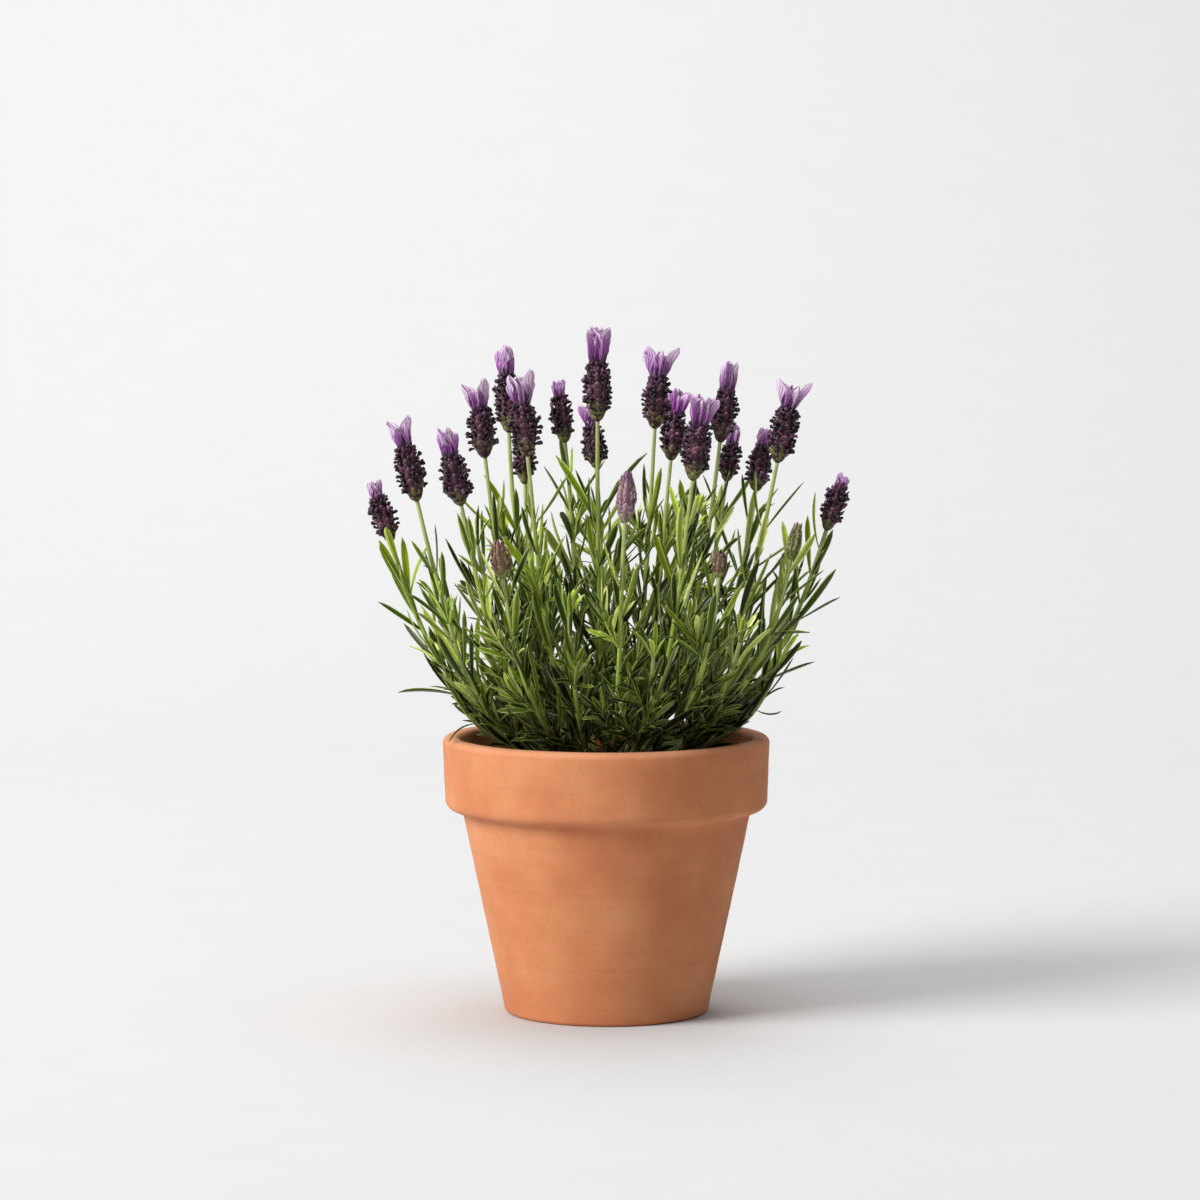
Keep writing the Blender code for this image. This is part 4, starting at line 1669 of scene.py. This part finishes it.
HEAD_PLANS = (
    HeadPlan("01", Bloom.YOUNG, 16.8, 8.6, 6.6, 4.0, 5, 9.0, 0.5, ((-8, 7.5, 0.7),)),
    HeadPlan("02", Bloom.OPEN, 20.4, 10.2, 8.6, 24.0, 6, 10.0, 0.45,
             ((-21, 12.5, 0.95), (16, 13.6, 0.9), (-9, 10.0, 0.7))),
    HeadPlan("03", Bloom.OPEN, 18.4, 10.4, 9.2, 14.0, 7, 7.0, 0.4,
             ((-13, 12.6, 0.85), (3, 12.8, 0.9), (9, 12.0, 0.6))),
    HeadPlan("04", Bloom.OPEN, 18.2, 10.4, 8.0, 22.0, 7, 15.0, 0.5,
             ((-36, 12.6, 0.9), (-24, 11.0, 0.7), (27, 13.8, 0.95), (10, 11.6, 0.6))),
    HeadPlan("05", Bloom.OPEN, 21.6, 9.8, 10.6, 34.0, 7, 7.0, 0.45, ((-7, 12.6, 0.5), (8, 13.0, 0.85))),
    HeadPlan("06", Bloom.OPEN, 19.2, 10.4, 9.0, 20.0, 7, 15.0, 0.5,
             ((-33, 13.0, 0.9), (30, 14.6, 0.98), (3, 12.0, 0.7), (-16, 12.0, 0.8))),
    HeadPlan("07", Bloom.OPEN, 18.0, 8.6, 8.0, 20.0),
    HeadPlan("08", Bloom.YOUNG, 17.4, 7.8, 6.8, 12.0, 6, 6.0, 0.45, ((4, 7.6, 0.6),)),
    HeadPlan("09", Bloom.OPEN, 21.6, 10.6, 12.6, 34.0, 8, 7.0, 0.38, ((10, 15.0, 0.5), (-5, 14.4, 0.1))),
    HeadPlan("10", Bloom.OPEN, 16.0, 8.6, 9.6, 16.0, 7, 10.0, 0.3),
    HeadPlan("11", Bloom.OPEN, 19.0, 10.4, 10.0, 26.0, 6, 12.0, 0.45,
             ((-17, 14.0, 0.45), (38, 14.4, 0.95), (2, 11.6, 0.6))),
    HeadPlan("12", Bloom.OPEN, 17.2, 9.6, 9.8, 18.0, 7, 12.0, 0.45),
    HeadPlan("13", Bloom.OPEN, 20.3, 10.8, 10.6, 16.0, 9, 15.0, 0.5, ((-16, 12.0, 0.6), (18, 12.2, 0.7))),
    HeadPlan("14", Bloom.OPEN, 19.4, 9.8, 11.2, 24.0, 7, 8.0, 0.55, ((-8, 12.8, 0.8), (13, 12.8, 0.9))),
    HeadPlan("15", Bloom.YOUNG, 14.0, 7.6, 8.8, 12.0, 5, 6.0, 0.7),
    HeadPlan("16", Bloom.YOUNG, 16.6, 8.8, 7.2, 12.0, 6, 6.0, 0.3),
    HeadPlan("17", Bloom.OPEN, 20.4, 10.2, 8.6, 16.0, 7, 10.0, 0.4,
             ((-29, 13.2, 0.95), (32, 13.4, 0.6), (0, 10.4, 0.5))),
    HeadPlan("18", Bloom.PINK_BUD, 16.8, 6.8, 0.0, 16.0),
    HeadPlan("19", Bloom.YOUNG, 17.0, 8.2, 5.0, 4.0, 4, 8.0, 0.1, ((-12, 5.6, 0.1), (14, 5.8, 0.2))),
    HeadPlan("20", Bloom.BROWN_BUD, 12.3, 7.2, 0.0, 6.0),
    HeadPlan("21", Bloom.GREEN_BUD, 12.2, 5.4, 0.0, 4.0),
    HeadPlan("22", Bloom.BROWN_BUD, 8.4, 5.4, 0.0, 5.0),
)


# A bract's width against the spike's, its length against a tier's, and its lean on an open spike.
FRONT_BRACT, SIDE_BRACT = (0.33, 1.9, 24.0), (0.27, 1.5, 34.0)


@dataclass
class FlowerHead:
    """A spike of packed bracts with florets between them and a coma on top."""

    plan: HeadPlan
    foot: Vector
    axis: Vector
    tier: float = 1.7 * MM
    lean_spread: float = 6.0
    missing: float = 0.14  # share of florets left out
    missing_middle: float = 0.5  # added to that in the middle of a gap
    wing_lean: float = 0.62  # how much of a wing's lean its root takes
    wing_width: float = 1.9 * MM
    rng: np.random.Generator = field(init=False)
    side: Vector = field(init=False)
    spin: float = field(init=False)

    def __post_init__(self) -> None:
        """Fixes the head's own frame and its seed."""
        self.rng = np.random.default_rng(HEAD_SEED + int(self.plan.key))
        self.side = self.axis.orthogonal().normalized()
        self.spin = float(self.rng.uniform(-0.3, 0.3)) + math.pi / 4

    def around(self, angle: float) -> Vector:
        """A unit vector square to the axis, at an angle round it."""
        return Matrix.Rotation(angle, 3, self.axis) @ self.side

    def half_width(self, share: float) -> float:
        """Half the spike's core width at a share of its length.

        Args:
            share: From 0 at the foot to 1 at the top.

        Returns:
            The half width, in metres.
        """
        shares, widths = zip(*CORE_OUTLINE)
        portion = 0.36 if self.plan.coma else 0.43
        return float(np.interp(share, shares, widths)) * self.plan.width * MM * portion

    def scale_finish(self) -> Finish:
        """The finish of this head's bracts by its stage.

        Returns:
            One of the bracts' finishes.
        """
        return {Bloom.PINK_BUD: PINK_SCALE, Bloom.BROWN_BUD: BROWN_SCALE,
                Bloom.GREEN_BUD: GREEN_SCALE}.get(self.plan.bloom, SCALE)

    def build_scales(self) -> bpy.types.Object:
        """Sets the bracts in four ranks of overlapping tiers round a core.

        Returns:
            The spike, as the piece that stands for the head's node.
        """
        length, seats = self.plan.length * MM, Seats(Shapes.SCALE)
        small = self.plan.coma == 0.0
        tier, inset = (self.tier * 0.85, 0.96) if small else (self.tier, 0.86)
        tiers = int(length * 0.96 / tier)
        for row in range(tiers):
            share = (row + 0.3) / tiers
            for rank in range(8):
                wide, long, lean = SIDE_BRACT if rank % 2 else FRONT_BRACT
                angle = self.spin + rank * math.pi / 4 + (row % 2) * 0.12 + self.rng.normal(0, 0.05)
                out = self.around(angle)
                place = self.foot + self.axis * length * share + out * self.half_width(share) * inset
                if small:
                    flare = math.radians(26 - 34 * share)
                else:
                    flare = math.radians(self.rng.normal(lean, self.lean_spread))
                direction = self.axis * math.cos(flare) + out * math.sin(flare)
                width = self.plan.width * MM * wide * self.rng.uniform(0.8, 1.15)
                size = tier * long * self.rng.uniform(0.9, 1.15)
                facing = self.axis * math.sin(flare) - out * math.cos(flare)
                taper = 0.6 + 0.4 * math.sin(math.pi * min(1, share + 0.25))
                variant = int(self.rng.integers(3))
                tone = float(np.clip(self.rng.normal(0.5, 0.25), 0, 1))
                seats.add(place, direction, facing, width * taper, size, variant, tone, share)
        made = seats.grow("spike_" + self.plan.key, self.scale_finish())
        slot = "flower_bud" if small else "flower_spike"
        return finish_piece(made, slot, "flower_head_" + self.plan.key)

    def build_florets(self) -> bpy.types.Object:
        """Sets the dark florets in the gaps between the ranks of bracts.

        Returns:
            All the head's florets as one piece.
        """
        length, seats = self.plan.length * MM, Seats(Shapes.FLORET)
        tiers = int(length * 0.80 / self.tier)
        for row in range(tiers):
            share = 0.17 + 0.80 * (row + 0.5) / tiers
            for rank in range(4):
                for offset in (-0.32, 0.32, 0.0):
                    if self.rng.random() < self.missing + self.missing_middle * (offset == 0.0):
                        continue
                    angle = (self.spin + math.pi / 4 + rank * math.pi / 2 + offset
                             + self.rng.normal(0, 0.07))
                    out = self.around(angle)
                    reach = self.half_width(share) * self.rng.uniform(0.95, 1.12)
                    up = length * share + self.rng.normal(0, 0.3) * MM
                    place = self.foot + self.axis * up + out * reach
                    rise = math.radians(self.rng.normal(56, 12))
                    direction = self.axis * math.cos(rise) + out * math.sin(rise)
                    size = self.rng.uniform(1.6, 2.6) * MM
                    seats.add(place, direction, self.axis, size * self.rng.uniform(0.55, 0.72), size,
                              int(self.rng.integers(3)), float(self.rng.random()), share)
        florets = seats.grow("florets_" + self.plan.key, FLORET)
        return finish_piece(florets, "flower_spike")

    def build_coma(self) -> bpy.types.Object:
        """Sets the petal-like bracts that stand on top of the spike.

        Returns:
            All the coma's bracts as one piece.
        """
        plan, seats = self.plan, Seats(Shapes.COMA)
        top = self.foot + self.axis * plan.length * MM * 0.90
        for ring, (count, share, tilt) in enumerate(((plan.bracts + 2, 1.0, 1.0), (5, 0.9, 0.35))):
            for k in range(count):
                angle = self.spin + math.tau * k / count + ring * 0.6 + self.rng.normal(0, 0.18)
                out = self.around(angle)
                lean = math.radians(plan.splay * tilt * self.rng.uniform(0.55, 1.4))
                direction = self.axis * math.cos(lean) + out * math.sin(lean)
                facing = self.axis * math.sin(lean) - out * math.cos(lean)
                size = (plan.coma + plan.length * 0.10) * MM * share * self.rng.uniform(0.72, 1.06)
                width = min(0.19 * size, plan.width * 0.185 * MM) * self.rng.uniform(0.65, 1.15)
                tone = float(np.clip(self.rng.normal(plan.paleness, 0.16), 0, 1))
                seats.add(top + out * plan.width * 0.15 * MM * tilt, direction, facing, width, size,
                          int(self.rng.integers(6)), tone)
        for lean, size, tone in plan.wings:
            direction = Matrix.Rotation(math.radians(self.wing_lean * lean), 3, "Y") @ self.axis
            sideways = math.copysign(1.0, lean)
            facing = Vector((-sideways * math.cos(math.radians(lean)), -0.9, 0.0))
            seats.add(top + Vector((sideways * plan.width * 0.13 * MM, -0.8 * MM, 0.0)), direction, facing,
                      self.wing_width * self.rng.uniform(0.8, 1.1), size * MM,
                      int(self.rng.integers(6)), tone)
        coma = seats.grow("coma_" + plan.key, COMA)
        return finish_piece(coma, "flower_spike")

    def build(self, cores: Seats) -> list[bpy.types.Object]:
        """Builds the whole head and adds its core to the others' cores.

        Args:
            cores: Where the open heads' cores are gathered.

        Returns:
            The head's pieces, without an open head's core.
        """
        bud = self.plan.coma == 0.0
        held = Seats(Shapes.CORE) if bud else cores
        # An open spike's core gets a low tone, which darkens it as painted shade in the gaps between the
        # bracts.
        width, tone, rise = (1.7, 0.6, 0.1) if bud else (2.0, 0.15, 0.5)
        held.add(self.foot, self.axis, self.side, self.half_width(0.4) * width, self.plan.length * MM,
                 0, tone, rise)
        made = [self.build_scales()]
        if bud:
            made.append(finish_piece(held.grow("core_" + self.plan.key, self.scale_finish()), "flower_bud"))
        else:
            made += [self.build_florets(), self.build_coma()]
        return made


# ------------------------------------------------------------------------------ the plant

@dataclass(frozen=True)
class LeafyPlan:
    """A shoot with no flower: its tip's direction round the pot, reach and height, in degrees and mm."""

    key: str
    degrees: float
    reach: float
    height: float
    steepness: float = 1.4

    def tip(self) -> Vector:
        """The tip's place.

        Returns:
            The place, in metres.
        """
        angle = math.radians(self.degrees)
        return Vector((self.reach * math.cos(angle), self.reach * math.sin(angle), self.height)) * MM

    def direction(self) -> Vector:
        """The way the tip points.

        Returns:
            A unit vector.
        """
        tip = self.tip()
        return Vector((tip.x, tip.y, self.steepness * tip.z)).normalized()


LEAFY_PLANS = tuple(
    LeafyPlan(f"{i + 1:02d}", *place)
    for i, place in enumerate((
        (195, 62, 130), (211, 66, 146), (255, 52, 150), (286, 60, 136), (318, 64, 140), (348, 64, 130),
        (20, 70, 152), (42, 74, 146), (66, 70, 160), (92, 76, 150), (116, 72, 164), (149, 74, 148),
        (172, 48, 172), (334, 34, 182),
    ))
)


@dataclass
class LavenderPlant:
    """All the shoots and flower heads."""

    pot: ClayPot
    soil: SoilBed

    def build(self) -> list[bpy.types.Object]:
        """Grows every shoot and every head.

        Returns:
            Every piece of the plant.
        """
        made: list[bpy.types.Object] = []
        cores = Seats(Shapes.CORE)
        for number, plan in enumerate(HEAD_PLANS):
            foot, axis = head_line("flower_head_" + plan.key)
            node = "flower_stem_" + plan.key
            shoot = Shoot("flowering_" + plan.key, (node,), lowest_ring(node), foot + axis * 0.6 * MM, axis,
                          plan.bare * MM, FLOWERING_SEED + number, self.pot, self.soil)
            made += shoot.build([leaf for leaf in MARKED_LEAVES if leaf.stem == shoot.name])
            made += FlowerHead(plan, foot, axis).build(cores)
        made.append(finish_piece(cores.grow("spike_cores", SCALE), "flower_spike"))
        for number, leafy in enumerate(LEAFY_PLANS):
            node = "leafy_shoot_" + leafy.key
            shoot = Shoot("leafy_" + leafy.key, (node,), lowest_ring(node), leafy.tip(), leafy.direction(),
                          1.5 * MM, LEAFY_SEED + number, self.pot, self.soil, side_shoots=4)
            made += shoot.build([leaf for leaf in MARKED_LEAVES if leaf.stem == shoot.name])
        return made


# ------------------------------------------------------------------------------ studio

@dataclass
class Studio:
    """The plain floor, the soft lights and the camera."""

    distance: float = 1.6
    eye_height: float = 0.27836
    eye_side: float = -0.0024
    pitch_degrees: float = 4.5268
    lens_mm: float = 131.383
    sensor_mm: float = 36.0
    surround: float = 0.21
    paper_half: float = 5.0
    paper_front: float = -6.0
    bend_start: float = 0.8
    bend_radius: float = 3.0
    bend_degrees: float = 40.0
    bend_steps: int = 48
    paper_rise: float = 6.0

    def build_floor(self) -> None:
        """A sheet of paper that lies flat and sweeps up behind."""
        start, bend, slope = self.bend_start, self.bend_radius, math.radians(self.bend_degrees)
        profile = [(self.paper_front, 0.0), (start, 0.0)]
        for a in np.linspace(0.0, slope, self.bend_steps + 1)[1:]:
            profile.append((start + bend * math.sin(a), bend * (1 - math.cos(a))))
        back, high = profile[-1]
        profile.append((back + self.paper_rise * math.cos(slope),
                        high + self.paper_rise * math.sin(slope)))
        points = [(x, y, z) for y, z in profile for x in (-self.paper_half, self.paper_half)]
        faces = [(2 * i, 2 * i + 1, 2 * i + 3, 2 * i + 2) for i in range(len(profile) - 1)]
        mesh = bpy.data.meshes.new("paper_sweep")
        mesh.from_pydata(points, [], faces)
        mesh.shade_smooth()
        floor = mesh_object("paper_sweep", mesh)
        mesh.materials.append(PAPER.material())

    def build_light(self, name: str, place: tuple[float, float, float], size: float, watts: float,
                    aim: tuple[float, float, float] = (0.0, 0.0, 0.12)) -> None:
        """A square soft light that looks at the plant, or wherever it is aimed.

        Args:
            name: The light's name.
            place: Where it stands.
            size: The length of its side.
            watts: Its strength.
            aim: The point it looks at.
        """
        lamp = bpy.data.lights.new(name, "AREA")
        lamp.energy = watts
        lamp.size = size
        holder = bpy.data.objects.new(name, lamp)
        holder.location = place
        holder.rotation_euler = (Vector(place) - Vector(aim)).to_track_quat("Z", "Y").to_euler()
        bpy.context.scene.collection.objects.link(holder)

    def build(self) -> None:
        """Sets the floor, the lights, the even surround light and the camera."""
        self.build_floor()
        self.build_light("key_left", (-3.07, -1.70, 2.40), 2.0, 214.0)
        self.build_light("top_fill", (0.15, 0.1, 2.6), 1.8, 35.0)
        self.build_light("backdrop", (-0.3, 1.8, 2.5), 2.2, 38.0, (0.2, 3.0, 0.5))
        world = bpy.data.worlds.new("even_white")
        world.use_nodes = True
        back = world.node_tree.nodes["Background"]
        back.inputs["Color"].default_value = (1.0, 1.0, 1.0, 1.0)
        back.inputs["Strength"].default_value = self.surround
        bpy.context.scene.world = world
        camera = bpy.data.cameras.new("camera")
        camera.lens = self.lens_mm
        camera.sensor_width = self.sensor_mm
        camera.clip_end = 30.0
        holder = bpy.data.objects.new("camera", camera)
        holder.location = (self.eye_side, -self.distance, self.eye_height)
        holder.rotation_euler = (math.radians(90.0 - self.pitch_degrees), 0.0, 0.0)
        bpy.context.scene.collection.objects.link(holder)
        bpy.context.scene.camera = holder
        bpy.context.scene.view_settings.view_transform = "Standard"


def main() -> None:
    """Builds the pot, the soil, the plant and the studio in order."""
    logging.basicConfig(level=logging.INFO, format="%(name)s: %(message)s")
    pot = ClayPot()
    pot.build()
    soil = SoilBed(pot)
    soil.build()
    soil.scatter_crumbs()
    pieces = LavenderPlant(pot, soil).build()
    LOG.info("%d plant pieces", len(pieces))
    discard_shapes()
    Studio().build()


if __name__ == "__main__":
    main()
